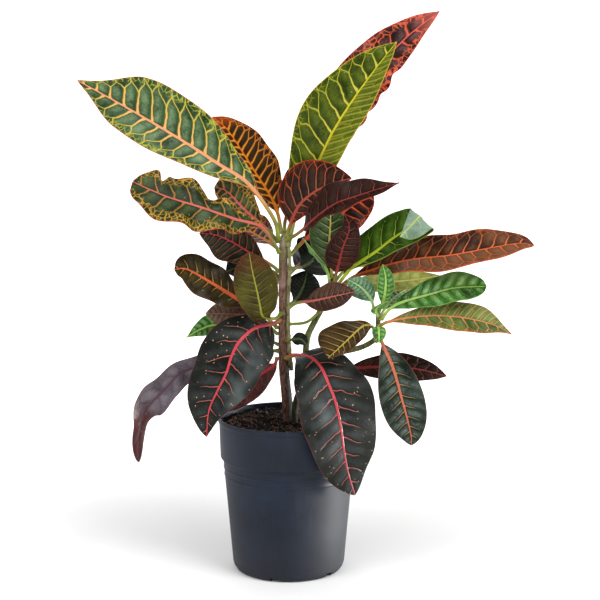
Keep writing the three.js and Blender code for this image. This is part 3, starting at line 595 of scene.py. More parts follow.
def creased(leaf, point):
    """A point of the blade once the tip is folded over along a line across it."""
    turn, bend, radius = leaf["crease"][1:]
    centre, forward, side, normal = leaf["crease_frame"]
    angle = math.radians(turn)
    onward = forward * math.cos(angle) + side * math.sin(angle)
    offset = point - centre
    past = offset.dot(onward)
    if past <= 0:
        return point
    lift = offset.dot(normal)
    rolled = min(past / radius, math.radians(bend))
    rest = past - radius * rolled
    along = (radius - lift) * math.sin(rolled) + rest * math.cos(rolled)
    above = radius - (radius - lift) * math.cos(rolled) + rest * math.sin(rolled)
    return point + onward * (along - past) + normal * (above - lift)


def course(leaf, u, v, across):
    """How many side veins lie before this point, counted along the way that they run."""
    return leaf["veins"] * u - VEIN_LEAN * across / leaf["spacing"] - VEIN_BEND * abs(v) ** 3


def blade_point(leaf, u, v):
    """A point of the blade's upper face, and its distance across from the midrib."""
    centre, _, side, normal = frame_at(leaf, u)
    blade = ease(OPENING * u)
    sign = 1 if v > 0 else -1
    reach = abs(v)
    width = half_width(leaf, u, sign)
    slope = math.radians(leaf["fold"]) * blade
    cup = math.radians(leaf["cup"]) * max(blade, 0.001)
    tilt = slope + cup * reach
    out = (math.sin(tilt) - math.sin(slope)) / cup
    up = (math.cos(slope) - math.cos(tilt)) / cup
    shift = RIPPLE_SHIFT if v > 0 else 0
    swell = math.sqrt(math.sin(math.pi * clamp(u)))
    ripple = leaf["wave"] * reach ** 1.5 * math.sin(2 * math.pi * leaf["waves"] * u + shift) * swell
    facet = normal * math.cos(tilt) - side * (sign * math.sin(tilt))
    across = reach * width
    cell = course(leaf, u, v, across) + (VEIN_STAGGER if v > 0 else 0)
    between = 0.5 - 0.5 * math.cos(2 * math.pi * cell)
    puff = PUFF * between * math.sin(math.pi * min(reach, 1)) ** 0.7 * min(1, width / 12) * blade
    crumple = leaf["crumple"] * reach * noise.noise(Vector((u * 9, v * 2.5, leaf["seed"])))
    point = centre + side * (sign * out * width)
    point += normal * (up * width + ripple) + facet * (MARGIN_THICKNESS / 2 + puff + crumple)
    if leaf["crease"]:
        point = creased(leaf, point)
    return point, across, width


def thicken(bm, thickness):
    """Gives an open sheet a lower face with material 1 and closes its rim."""
    upper = list(bm.faces)
    rim = [edge for edge in bm.edges if edge.is_boundary]
    copied = bmesh.ops.duplicate(bm, geom=[*bm.verts, *bm.edges, *upper])
    twin = copied["vert_map"]
    lower = [item for item in copied["geom"] if isinstance(item, bmesh.types.BMFace)]
    for vert in {vert for face in upper for vert in face.verts}:
        twin[vert].co = vert.co - vert.normal * thickness
    bmesh.ops.reverse_faces(bm, faces=lower)
    for face in lower:
        face.material_index = 1
    for edge in rim:
        start = edge.link_loops[0].vert
        end = edge.other_vert(start)
        bm.faces.new((end, start, twin[start], twin[end]))


def add_blade(bm, leaf):
    """Adds the blade as a shaped grid with a second face under it."""
    layers = bm.verts.layers
    run = layers.float_vector.new("course")
    flat = layers.float_vector.new("flat")
    gauge = layers.float.new("spacing")
    rows = max(14, round((leaf["path"].length - leaf["stalk"]) / ROW_LENGTH))
    grid = bmesh.ops.create_grid(bm, x_segments=BLADE_COLUMNS, y_segments=rows, size=1)["verts"]
    for vert in grid:
        t = vert.co.x
        v = t * (COLUMN_SPREAD + (1 - COLUMN_SPREAD) * t * t)
        u = (vert.co.y + 1) / 2
        point, across, width = blade_point(leaf, u, v)
        along = u * (leaf["path"].length - leaf["stalk"])
        vert.co = point
        vert[run] = (course(leaf, u, v, across) + VEIN_SHIFT * leaf["number"], v, u)
        edge = (1 - abs(v)) * width
        vert[flat] = (along + SKIN_SHIFT * leaf["number"], math.copysign(across, v), edge)
        vert[gauge] = leaf["spacing"]
    bm.normal_update()
    thicken(bm, BLADE_THICKNESS)


def add_midrib(bm, leaf):
    """Adds the stalk, swollen where it joins the bark, and the midrib that it runs on into."""
    length = leaf["path"].length
    blade_length = length - leaf["stalk"]
    count = max(12, round(length / RIB_STEP))
    radius = stalk_radius(leaf)
    centre, _, side, normal = frame_at(leaf, -leaf["stalk"] / blade_length)
    rings = [(leaf["axis"].lerp(centre, 0.45), side, normal, radius * 1.15)]
    for number in range(count + 1):
        distance = length * RIB_END * number / count
        u = (distance - leaf["stalk"]) / blade_length
        centre, _, side, normal = frame_at(leaf, u)
        blade = ease(OPENING * u)
        thickness = mix(2 * radius, RIB_THICKNESS * (1 - RIB_TAPER * max(u, 0)), blade)
        collar = 1 + COLLAR_SWELL * math.exp(-distance / COLLAR_LENGTH)
        top = mix(thickness / 2, MARGIN_THICKNESS / 2 + 0.1, blade)
        point = centre + normal * (top - thickness / 2)
        rings.append((point, side, normal, thickness / 2 * collar))
    made = tube(bm, rings, STALK_SIDES, material=2)
    run = bm.verts.layers.float_vector["course"]
    for vert in made:
        distance = leaf["path"].nearest(vert.co) * length
        vert[run] = (0, 0, (distance - leaf["stalk"]) / blade_length)
    if leaf["crease"]:
        for vert in made:
            vert.co = creased(leaf, vert.co)


def leaf_piece(leaf, number, looks):
    """The finer leaf that stands for a leaf of the part, with its face, underside and stalk."""
    leaf["number"] = number
    leaf["seed"] = number * CRUMPLE_SHIFT
    seat, leaf["axis"] = seat_of(leaf)
    leaf["path"] = Route([seat, *leaf["route"]])
    length = leaf["path"].length
    quarter = mix(leaf["stalk"], length, 0.25) / length
    leaf["sideways"] = leaf["path"].heading(quarter).cross(facing(leaf)).normalized()
    leaf["spacing"] = (length - leaf["stalk"]) / leaf["veins"]
    if leaf["crease"]:
        leaf["crease_frame"] = frame_at(leaf, leaf["crease"][0])
    bm = bmesh.new()
    add_blade(bm, leaf)
    add_midrib(bm, leaf)
    piece = finished(leaf["name"] + "_fine", bm, looks, slot_of(leaf["name"]), sharp=55)
    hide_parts(leaf["name"])
    return piece


def slot_of(node):
    """The material slot that the part's record gives a node."""
    for part in frame["record"]["subparts"]:
        if part["node"] == node:
            return part["material_slot"]
    return None


# Materials

def paint(red, green, blue):
    """A colour given as screen values from 0 to 255, as the shader wants it."""
    def linear(value):
        share = value / 255
        return share / 12.92 if share <= 0.04045 else ((share + 0.055) / 1.055) ** 2.4
    return (linear(red), linear(green), linear(blue), 1.0)


class Wire:
    """An output of a node that Python's operators work on, each adding its Math node."""

    def __init__(self, finish, socket):
        self.finish = finish
        self.socket = socket

    def math(self, operation, *others):
        return self.finish.math(operation, self, *others)

    def __add__(self, other):
        return self.math("ADD", other)

    def __radd__(self, other):
        return self.finish.math("ADD", other, self)

    def __sub__(self, other):
        return self.math("SUBTRACT", other)

    def __rsub__(self, other):
        return self.finish.math("SUBTRACT", other, self)

    def __mul__(self, other):
        return self.math("MULTIPLY", other)

    def __rmul__(self, other):
        return self.finish.math("MULTIPLY", other, self)

    def __gt__(self, other):
        return self.math("GREATER_THAN", other)

    def __lt__(self, other):
        return self.math("LESS_THAN", other)

    def __abs__(self):
        return self.math("ABSOLUTE")


class Finish:
    """A material being made: its node tree and its shader."""

    def __init__(self, name):
        self.material = bpy.data.materials.new(name)
        self.material.use_nodes = True
        self.tree = self.material.node_tree
        self.shader = self.tree.nodes["Principled BSDF"]

    def feed(self, socket, value):
        """Links a wire to a socket, or sets the socket's own value."""
        if isinstance(value, Wire):
            self.tree.links.new(value.socket, socket)
        else:
            socket.default_value = value

    def node(self, kind, settings=None, values=None, output=0):
        """Adds a node, makes its settings, fills its sockets and gives one of its outputs."""
        made = self.tree.nodes.new("ShaderNode" + kind)
        for key, value in (settings or {}).items():
            setattr(made, key, value)
        for key, value in (values or {}).items():
            self.feed(made.inputs[key], value)
        return Wire(self, made.outputs[output])

    def math(self, operation, *operands):
        """A sum, product or other function of wires and numbers."""
        return self.node("Math", {"operation": operation}, dict(enumerate(operands)))

    def blend(self, share, first, second):
        """A colour between two colours."""
        return self.node("Mix", {"data_type": "RGBA"}, {0: share, 6: first, 7: second}, output=2)

    def between(self, value, low, high):
        """0 below the low mark and 1 above the high one, eased between them."""
        values = {"Value": value, "From Min": low, "From Max": high}
        return self.node("MapRange", {"interpolation_type": "SMOOTHSTEP"}, values)

    def attribute(self, name):
        """The three numbers of a vector that the mesh carries."""
        made = self.node("Attribute", {"attribute_name": name}, output="Vector")
        return [self.node("SeparateXYZ", values={0: made}, output=axis) for axis in range(3)]

    def number(self, name):
        """A single number that the mesh carries."""
        return self.node("Attribute", {"attribute_name": name}, output="Fac")

    def vector(self, x, y, z=0.0):
        return self.node("CombineXYZ", values={0: x, 1: y, 2: z})

    def place(self):
        """The point's place in the piece, in metres."""
        return self.node("TexCoord", output="Object")

    def noise(self, vector, scale, detail=3.0, roughness=0.5):
        """Cloudy noise about 0.5, finer with a larger scale."""
        values = {"Vector": vector, "Scale": scale, "Detail": detail, "Roughness": roughness}
        return self.node("TexNoise", values=values)

    def voronoi(self, vector, scale, feature="F1", output=0):
        """A pattern of cells, read as the distance from their middles or edges or as their colour."""
        return self.node("TexVoronoi", {"feature": feature}, {"Vector": vector, "Scale": scale}, output)

    def bump(self, height, strength, distance):
        """Raises the surface by a height, of which 1 stands for the distance in metres."""
        values = {"Height": height, "Strength": strength, "Distance": distance}
        self.feed(self.shader.inputs["Normal"], self.node("Bump", values=values))

    def set(self, **values):
        """Feeds the shader's sockets by their names and gives the finished material."""
        for key, value in values.items():
            self.feed(self.shader.inputs[key.replace("_", " ")], value)
        return self.material


# What a look has where its own entry says nothing else. For the side veins: their width, how strongly
# they show, how far out they reach and how far they fork into loops. Then the midrib's width, how much
# of the leaf the fine network covers and how fine it is, the share of specks and the margin's strength.
# Then roughness, reflection, painted sheen in broad patches and painted sheen on the panels between
# veins. Last are a coloured tip (its colour, start and strength) and a half with another pattern: its
# side, how much paler it is and how far fine lines take the place of the veins.
LOOK_FORM = {"vein_width": 1.2, "vein_strength": 1.0, "reach": 1.3, "loops": 1.0, "rib_width": 1.0,
             "net_share": 0.2, "web_scale": 0.17, "speck_share": 0.1, "edge_strength": 0.8, "gloss": 0.3,
             "shine": 0.12, "sheen_patches": 0.35, "gleam": 0.45, "tip_tint": None, "half": (1, 0, 0)}

# Leaf patterns: ground colours from deep to light, the light one also serving as painted sheen, the
# midrib, the side veins from the midrib outwards, the fine network by the margin, the margin itself and
# specks
LOOKS = {
    "blue_green": {
        "ground": [(18, 38, 15), (42, 68, 36), (116, 140, 102)], "rib": (206, 138, 98),
        "veins": [(212, 158, 96), (188, 168, 62)], "net": (168, 168, 50), "edge": (190, 104, 72),
        "speck": (160, 168, 56), "vein_width": 2.3, "net_share": 0.5, "speck_share": 0.25,
        "rib_width": 1.1, "gleam": 0.7,
    },
    "mottled_green": {
        "ground": [(14, 24, 6), (30, 46, 16), (94, 110, 72)], "rib": (186, 92, 84),
        "veins": [(170, 104, 66), (166, 132, 50)], "net": (172, 130, 44), "edge": (170, 76, 56),
        "speck": (160, 156, 60), "vein_width": 1.3, "net_share": 0.75, "speck_share": 0.45,
        "vein_strength": 0.8, "web_scale": 0.21,
    },
    "green_orange": {
        "ground": [(52, 66, 26), (80, 98, 42), (128, 138, 82)], "rib": (196, 122, 78),
        "veins": [(192, 140, 92), (196, 120, 66)], "net": (190, 118, 58), "edge": (190, 100, 62),
        "speck": (170, 160, 70), "vein_width": 1.0, "net_share": 0.5, "speck_share": 0.2,
        "rib_width": 0.7, "half": (-1, 0.1, 0.8),
    },
    "dark_orange": {
        "ground": [(20, 13, 1), (38, 25, 3), (72, 52, 14)], "rib": (212, 116, 28),
        "veins": [(218, 142, 44), (200, 118, 32)], "net": (186, 102, 24), "edge": (144, 60, 24),
        "speck": (190, 110, 36), "vein_width": 2.0, "net_share": 0.5,
        "tip_tint": ((176, 66, 20), 0.82, 0.75),
    },
    "ember": {
        "ground": [(22, 7, 5), (42, 14, 8), (84, 42, 30)], "rib": (190, 72, 44),
        "veins": [(196, 84, 48), (190, 74, 38)], "net": (188, 72, 36), "edge": (184, 62, 42),
        "speck": (190, 84, 46), "vein_width": 1.8, "net_share": 0.55,
    },
    "lime_green": {
        "ground": [(28, 42, 0), (50, 66, 2), (110, 120, 34)], "rib": (186, 176, 34),
        "veins": [(182, 174, 62), (164, 160, 40)], "net": (156, 154, 28), "edge": (176, 148, 44),
        "speck": (166, 168, 60), "vein_width": 2.0, "net_share": 0.4, "speck_share": 0.45,
        "rib_width": 1.2, "gleam": 0.6, "half": (1, 0.3, 0.9),
    },
    "deep_green": {
        "ground": [(20, 42, 14), (58, 82, 42), (128, 142, 104)], "rib": (206, 184, 96),
        "veins": [(160, 174, 112), (110, 136, 76)], "net": (110, 130, 64), "edge": (104, 122, 60),
        "speck": (160, 170, 80), "vein_width": 0.9, "net_share": 0.1, "loops": 0.4, "reach": 0.8,
    },
    "bright_green": {
        "ground": [(20, 42, 0), (36, 66, 1), (98, 130, 44)], "rib": (164, 178, 40),
        "veins": [(156, 174, 72), (120, 146, 50)], "net": (110, 140, 44), "edge": (120, 144, 56),
        "speck": (160, 176, 76), "vein_width": 1.0, "net_share": 0.12, "speck_share": 0.25,
        "loops": 0.5, "reach": 0.8, "rib_width": 1.15, "gleam": 0.6,
    },
    "fresh_green": {
        "ground": [(7, 46, 0), (36, 104, 20), (166, 210, 126)], "rib": (160, 196, 96),
        "veins": [(110, 160, 66), (80, 132, 46)], "net": (84, 134, 46), "edge": (112, 154, 68),
        "speck": (140, 176, 84), "vein_width": 0.9, "net_share": 0.06, "speck_share": 0.03,
        "loops": 0.3, "reach": 0.95, "vein_strength": 0.7, "gloss": 0.24, "shine": 0.25, "gleam": 0.8,
    },
    "pale_green": {
        "ground": [(112, 124, 48), (146, 152, 72), (188, 192, 132)], "rib": (192, 184, 104),
        "veins": [(176, 160, 76), (166, 150, 66)], "net": (170, 154, 64), "edge": (180, 132, 66),
        "speck": (104, 120, 46), "vein_width": 0.9, "net_share": 0.3, "speck_share": 0.4,
        "vein_strength": 0.5,
    },
    "glaucous": {
        "ground": [(34, 70, 34), (66, 108, 66), (168, 200, 180)], "rib": (168, 200, 136),
        "veins": [(140, 180, 116), (110, 156, 96)], "net": (110, 156, 96), "edge": (100, 146, 92),
        "speck": (180, 200, 160), "vein_width": 0.8, "net_share": 0.05, "speck_share": 0.0,
        "loops": 0.3, "reach": 0.8, "vein_strength": 0.6, "gleam": 0.8, "shine": 0.3,
    },
    "red_pink": {
        "ground": [(28, 10, 8), (48, 20, 14), (122, 92, 92)], "rib": (206, 92, 88),
        "veins": [(206, 92, 76), (200, 92, 56)], "net": (200, 86, 58), "edge": (196, 74, 70),
        "speck": (200, 94, 60), "vein_width": 2.0, "net_share": 0.8, "speck_share": 0.25,
        "gleam": 0.7, "tip_tint": ((206, 104, 88), 0.84, 0.45),
    },
    "maroon": {
        "ground": [(18, 7, 3), (34, 14, 7), (80, 46, 32)], "rib": (136, 50, 48),
        "veins": [(140, 64, 50), (102, 42, 34)], "net": (84, 34, 28), "edge": (100, 36, 36),
        "speck": (130, 54, 44), "vein_width": 0.8, "net_share": 0.08, "speck_share": 0.03,
        "loops": 0.6, "reach": 0.9, "vein_strength": 0.75, "edge_strength": 0.5,
    },
    "maroon_orange": {
        "ground": [(18, 6, 1), (38, 14, 4), (96, 56, 38)], "rib": (150, 60, 48),
        "veins": [(150, 96, 64), (176, 74, 36)], "net": (190, 66, 28), "edge": (170, 52, 28),
        "speck": (190, 80, 34), "vein_width": 0.9, "net_share": 0.3, "speck_share": 0.03,
    },
    "dark_pink": {
        "ground": [(5, 8, 4), (17, 21, 14), (88, 97, 97)], "rib": (180, 56, 66),
        "veins": [(176, 84, 78), (156, 108, 90)], "net": (110, 70, 60), "edge": (96, 40, 40),
        "speck": (204, 150, 118), "vein_width": 0.75, "net_share": 0.0, "speck_share": 0.9,
        "loops": 0.0, "reach": 0.58, "edge_strength": 0.5, "shine": 0.14, "sheen_patches": 0.65,
        "gleam": 0.25,
    },
    "dark_veined": {
        "ground": [(10, 12, 6), (24, 26, 14), (78, 80, 62)], "rib": (168, 58, 62),
        "veins": [(164, 78, 62), (140, 84, 56)], "net": (130, 76, 48), "edge": (124, 44, 44),
        "speck": (160, 120, 70), "vein_width": 0.9, "net_share": 0.15, "loops": 0.4, "reach": 1.1,
        "rib_width": 0.9,
    },
    "green_salmon": {
        "ground": [(7, 16, 7), (20, 36, 20), (116, 132, 124)], "rib": (186, 98, 72),
        "veins": [(150, 112, 74), (96, 98, 64)], "net": (90, 88, 52), "edge": (100, 56, 44),
        "speck": (140, 126, 70), "vein_width": 0.8, "net_share": 0.0, "loops": 0.0, "reach": 0.62,
        "shine": 0.2, "gloss": 0.2, "gleam": 0.6,
    },
    "olive": {
        "ground": [(38, 28, 3), (58, 53, 6), (98, 92, 32)], "rib": (136, 134, 50),
        "veins": [(112, 106, 44), (84, 78, 30)], "net": (90, 84, 32), "edge": (100, 50, 24),
        "speck": (130, 120, 54), "vein_width": 0.9, "net_share": 0.05, "speck_share": 0.03,
        "loops": 0.5, "reach": 0.85, "vein_strength": 0.6, "rib_width": 0.7, "gleam": 0.2,
        "tip_tint": ((70, 32, 12), 0.7, 0.6),
    },
    "olive_red": {
        "ground": [(22, 14, 1), (40, 28, 4), (88, 78, 32)], "rib": (196, 82, 48),
        "veins": [(168, 128, 60), (140, 110, 46)], "net": (140, 100, 40), "edge": (100, 50, 28),
        "speck": (150, 130, 54), "vein_width": 0.8, "net_share": 0.05, "loops": 0.0, "reach": 0.55,
        "rib_width": 1.5, "speck_share": 0.4,
    },
    "olive_yellow": {
        "ground": [(26, 16, 3), (44, 30, 7), (90, 70, 32)], "rib": (160, 142, 56),
        "veins": [(150, 120, 54), (116, 84, 38)], "net": (130, 92, 38), "edge": (92, 54, 26),
        "speck": (150, 120, 50), "vein_width": 0.8, "net_share": 0.15, "loops": 0.2, "reach": 0.85,
        "rib_width": 0.7,
    },
    "brown_orange": {
        "ground": [(28, 10, 2), (54, 22, 6), (124, 80, 52)], "rib": (200, 92, 50),
        "veins": [(190, 98, 52), (176, 90, 48)], "net": (184, 88, 42), "edge": (186, 84, 44),
        "speck": (176, 88, 40), "net_share": 0.4, "rib_width": 0.8, "half": (1, 0.45, 0),
    },
    "brown_pink": {
        "ground": [(30, 16, 10), (56, 36, 26), (112, 86, 70)], "rib": (172, 88, 82),
        "veins": [(136, 92, 72), (104, 64, 52)], "net": (110, 62, 48), "edge": (110, 54, 46),
        "speck": (140, 74, 52), "vein_width": 0.8, "net_share": 0.08, "loops": 0.3, "reach": 0.9,
        "vein_strength": 0.8, "rib_width": 0.8,
    },
    "dusky": {
        "ground": [(74, 58, 46), (110, 92, 76), (152, 132, 116)], "rib": (160, 110, 96),
        "veins": [(146, 116, 92), (126, 94, 74)], "net": (120, 84, 66), "edge": (120, 66, 56),
        "speck": (140, 90, 70), "vein_width": 0.7, "net_share": 0.1, "loops": 0.3, "reach": 1.0,
        "vein_strength": 0.7, "rib_width": 0.8,
    },
    "purple_grey": {
        "ground": [(56, 50, 55), (92, 84, 90), (124, 116, 122)], "rib": (80, 54, 64),
        "veins": [(66, 52, 58), (58, 48, 52)], "net": (110, 40, 60), "edge": (100, 44, 54),
        "speck": (140, 60, 90), "vein_width": 0.9, "net_share": 0.12, "speck_share": 0.3,
        "vein_strength": 0.5, "tip_tint": ((84, 34, 32), 0.6, 0.85),
    },
    # Painted shade: near-black colours for leaves that sit deep in the plant's shadow
    "black_green": {
        "ground": [(5, 8, 5), (12, 17, 11), (40, 48, 38)], "rib": (70, 82, 48),
        "veins": [(44, 54, 32), (28, 36, 22)], "net": (32, 40, 24), "edge": (40, 36, 24),
        "speck": (70, 80, 50), "vein_width": 0.8, "net_share": 0.03, "speck_share": 0.03,
        "vein_strength": 0.6,
    },
}

# How close the specks of a leaf stand
SPECK_SCALE = 0.3

# Stalks: two colours of their skin
STALK_SKIN = [(104, 118, 44), (158, 166, 76)]

# Undersides: the same pattern in duller colours, with raised veins
REVERSES = {
    "pale": {"ground": [(88, 112, 88), (126, 150, 132), (172, 192, 178)], "rib": (176, 194, 104),
             "veins": [(156, 176, 116), (142, 164, 118)]},
    "red": {"ground": [(62, 22, 20), (94, 38, 34), (132, 72, 66)], "rib": (150, 60, 54),
            "veins": [(134, 56, 50), (116, 48, 42)]},
    "rust": {"ground": [(62, 30, 14), (92, 50, 24), (130, 84, 50)], "rib": (160, 94, 50),
             "veins": [(140, 80, 44), (124, 70, 38)]},
    "dull_green": {"ground": [(44, 54, 22), (68, 80, 38), (108, 118, 72)], "rib": (146, 142, 70),
                   "veins": [(118, 118, 56), (104, 106, 52)]},
}

# The underside that goes with each look
REVERSE_OF = {
    "blue_green": "dull_green", "mottled_green": "dull_green", "green_orange": "dull_green",
    "lime_green": "dull_green", "green_salmon": "dull_green", "olive": "dull_green",
    "black_green": "dull_green",
    "deep_green": "pale", "bright_green": "pale", "fresh_green": "pale", "pale_green": "pale",
    "glaucous": "pale",
    "red_pink": "red", "maroon": "red", "maroon_orange": "red", "dark_pink": "red", "dark_veined": "red",
    "brown_pink": "red", "purple_grey": "red",
    "dark_orange": "rust", "ember": "rust", "olive_red": "rust", "olive_yellow": "rust",
    "brown_orange": "rust", "dusky": "rust",
}

# Seed of the bark's dents, without which every run draws others
DENT_SEED = 4

# Bark, in millimetres: the heights between which it turns young and green, the heights between which
# the trunk leans and how far, the heights between which the painted shade on its right side ends, and
# half the distance between rings of scars and how far these wander
YOUNG_START = 285
YOUNG_FULL = 330
LEAN_START = 92
LEAN_END = 218
LEAN_SHIFT = 9
DARK_SIDE_FADE = 185
DARK_SIDE_END = 235
SCAR_HALF_SPACING = 9
SCAR_WANDER = 46

# Barks: cracks, ridges, old scars and young growth
BARKS = {
    "brown_bark": [(76, 50, 38), (138, 104, 88), (178, 152, 136), (128, 126, 92)],
    "green_bark": [(58, 62, 30), (108, 110, 66), (152, 150, 108), (120, 130, 70)],
    "pale_bark": [(92, 90, 56), (146, 142, 100), (180, 172, 136), (150, 152, 92)],
}


def leaf_coordinates(finish):
    """The side veins' count, the sides and lengths of the leaf, and a noise that bends the veins."""
    run, v, u = finish.attribute("course")
    along, across, edge = finish.attribute("flat")
    spacing = finish.number("spacing")
    skin = finish.vector(along, across)
    bend = finish.noise(skin, 0.09, 2.0) - 0.5
    return run, v, u, across, edge, spacing, skin, bend


def vein_masks(finish, width, loops=1.0, reach=1.0, rib_width=1.0):
    """Masks of the midrib, the side veins that fork and loop, and a soft halo round them."""
    run, v, u, across, edge, spacing, skin, bend = leaf_coordinates(finish)
    side = abs(v)
    span = abs(across)
    cell = run + VEIN_STAGGER * (v > 0) + bend * 0.36
    number = finish.math("ROUND", cell)
    part = cell - number
    lot = finish.node("TexWhiteNoise", {"noise_dimensions": "2D"}, {"Vector": finish.vector(number, v > 0)})
    fork_at = 0.44 + 0.24 * lot
    fork = finish.between(side, fork_at, fork_at + 0.34) * loops
    away = abs(abs(part) - fork * 0.5) * spacing
    half = width * (0.46 - 0.3 * side) + 0.35 * width * finish.math("EXPONENT", span * -0.55)
    shown = 1 - finish.between(side + 0.22 * (lot - 0.5) + 0.5 * bend, reach - 0.12, reach + 0.12)
    veins = (1 - finish.between(away, half * 0.7, half * 1.25 + 0.12)) * shown
    halo = (1 - finish.between(away, half, half * 2.6 + 0.8)) * shown
    rib_half = (1.9 - 1.45 * u) * rib_width
    rib = 1 - finish.between(span, rib_half * 0.8, rib_half * 1.15 + 0.1)
    # Panels between the side veins, on which painted sheen is laid
    phase = finish.math("FRACT", cell)
    panel = finish.between(phase, 0.12, 0.62) * (1 - finish.between(phase, 0.72, 0.96))
    panel = panel * (1 - 0.75 * finish.between(side, 0.25, 1.0)) * finish.between(span, 0.8, 4.0)
    return {"run": run, "v": v, "u": u, "side": side, "edge": edge, "skin": skin, "bend": bend,
            "veins": veins, "halo": halo, "rib": rib, "panel": panel}


def network(finish, look, mask, blotch):
    """Mask of the fine mesh of veins, which shows towards the margin."""
    share = look["net_share"]
    warp = finish.vector(mask["bend"] * 8, finish.noise(mask["skin"], 0.2) * 5)
    bent = finish.node("VectorMath", {"operation": "ADD"}, {0: mask["skin"], 1: warp})
    web = 1 - finish.between(finish.voronoi(bent, look["web_scale"], "DISTANCE_TO_EDGE"), 0.025, 0.1)
    start = 1.08 - 0.75 * share
    cover = finish.between(mask["side"] + 0.55 * (blotch - 0.5), start, start + 0.22)
    return web * cover * min(1, 1.4 * share)


def specks(finish, look, mask):
    """Mask of the small dots, of which more stand near the margin."""
    dots = finish.voronoi(mask["skin"], SPECK_SCALE)
    chosen = finish.voronoi(mask["skin"], SPECK_SCALE, output="Color")
    draw = finish.node("SeparateXYZ", values={0: chosen})
    chance = (0.1 + 0.6 * mask["side"] * mask["side"]) * look["speck_share"]
    return (1 - finish.between(dots, 0.09, 0.2)) * (draw < chance)


def leaf_ground(finish, look, mask, half, blotch, grain):
    """The skin between the veins: its blotches, painted sheen, paler half, network and specks."""
    deep, middle, light = (paint(*colour) for colour in look["ground"])
    net = paint(*look["net"])
    share = look["net_share"]
    paler, lined = look["half"][1:]
    ground = finish.blend(finish.between(blotch + 0.25 * grain, 0.42, 0.78), deep, middle)
    broad = finish.noise(mask["skin"], 0.025, 2.0)
    # Painted sheen: broad patches and the panels between side veins turn towards the lightest ground
    # colour, as does the paler half
    lit = half * paler + look["sheen_patches"] * finish.between(broad, 0.52, 0.78)
    lit = lit + mask["panel"] * look["gleam"] * finish.between(blotch + 0.5 * grain, 0.5, 0.95)
    ground = finish.blend(lit, ground, light)
    ground = finish.blend(mask["halo"] * (0.3 * share), ground, net)
    ground = finish.blend(network(finish, look, mask, blotch) * (1 - half * lined), ground, net)
    patch = finish.between(blotch + 0.3 * mask["side"], 0.9, 1.06) * (share * 0.6)
    ground = finish.blend(patch, ground, net)
    return finish.blend(specks(finish, look, mask), ground, paint(*look["speck"]))


def leaf_top(name, look):
    """The waxy upper face of a leaf with its pattern and painted sheen."""
    finish = Finish(name)
    look = {**LOOK_FORM, **look}
    mask = vein_masks(finish, look["vein_width"], look["loops"], look["reach"], look["rib_width"])
    blotch = finish.noise(mask["skin"], 0.045, 4.0, 0.6)
    grain = finish.noise(mask["skin"], 0.5, 3.0, 0.6)
    side, _, lined = look["half"]
    half = finish.between(mask["v"] * side, -0.04, 0.1)
    ground = leaf_ground(finish, look, mask, half, blotch, grain)
    inner, outer = (paint(*colour) for colour in look["veins"])
    vein = finish.blend(finish.between(mask["side"], 0.1, 0.85), inner, outer)
    faded = mask["veins"] * (1 - 0.3 * mask["side"]) * look["vein_strength"]
    colour = finish.blend(faded * (1 - half * (0.75 * lined)), ground, vein)
    # Fine parallel lines, two to a side vein
    stripe = 1 - finish.between(abs(finish.math("FRACT", mask["run"] * 2) - 0.5), 0.06, 0.2)
    colour = finish.blend(stripe * half * (0.55 * lined), colour, paint(*look["speck"]))
    margin = 1 - finish.between(mask["edge"], 0.3, 1.0)
    colour = finish.blend(margin * look["edge_strength"], colour, paint(*look["edge"]))
    if look["tip_tint"]:
        tint, start, strength = look["tip_tint"]
        spread = finish.between(mask["u"] + 0.12 * (blotch - 0.5), start, start + 0.14)
        colour = finish.blend(spread * strength, colour, paint(*tint))
    streak = finish.noise(mask["skin"], 0.35, 2.0)
    rib = finish.blend(finish.between(streak, 0.35, 0.7) * 0.3, paint(*look["rib"]), vein)
    colour = finish.blend(mask["rib"], colour, rib)
    relief = 0.6 * mask["rib"] - 0.5 * mask["halo"] + 0.12 * grain + 0.25 * blotch
    finish.bump(relief, strength=0.8, distance=0.0011)
    rough = look["gloss"] + 0.14 * blotch + 0.1 * grain
    return finish.set(Base_Color=colour, Roughness=rough, Specular_IOR_Level=look["shine"])


def leaf_reverse(name, look):
    """The duller underside of a leaf with raised veins."""
    finish = Finish(name)
    mask = vein_masks(finish, 1.0)
    deep, middle, light = (paint(*colour) for colour in look["ground"])
    blotch = finish.noise(mask["skin"], 0.05, 4.0, 0.6)
    grain = finish.noise(mask["skin"], 0.6, 3.0, 0.6)
    ground = finish.blend(finish.between(blotch, 0.35, 0.65), deep, middle)
    ground = finish.blend(finish.between(grain, 0.5, 0.9) * 0.5, ground, light)
    inner, outer = (paint(*colour) for colour in look["veins"])
    vein = finish.blend(mask["side"], inner, outer)
    colour = finish.blend(mask["veins"] * 0.8, ground, vein)
    colour = finish.blend(mask["rib"], colour, paint(*look["rib"]))
    finish.bump(mask["veins"] + 0.2 * grain, strength=0.5, distance=0.0005)
    rough = 0.48 + 0.16 * blotch
    return finish.set(Base_Color=colour, Roughness=rough, Specular_IOR_Level=0.4)


def leaf_stalk(name, look):
    """Stalk and midrib: green skin by the stem that takes the midrib's colour."""
    finish = Finish(name)
    place = finish.place()
    streaks = finish.noise(place, 260.0, 4.0, 0.6)
    broad = finish.noise(place, 40.0, 2.0)
    u = finish.attribute("course")[2]
    low, high = (paint(*colour) for colour in STALK_SKIN)
    skin = finish.blend(finish.between(broad, 0.35, 0.7), low, high)
    skin = finish.blend(finish.between(u, -0.2, 0.08), skin, paint(*look["rib"]))
    shade = finish.blend(finish.between(streaks, 0.45, 0.85) * 0.4, skin, darker(look["rib"], 0.6))
    finish.bump(streaks, strength=0.3, distance=0.0003)
    return finish.set(Base_Color=shade, Roughness=0.4 + 0.2 * streaks, Specular_IOR_Level=look["shine"])


def darker(colour, share):
    """The shader's colour for a share of the screen values."""
    return paint(*[value * share for value in colour])


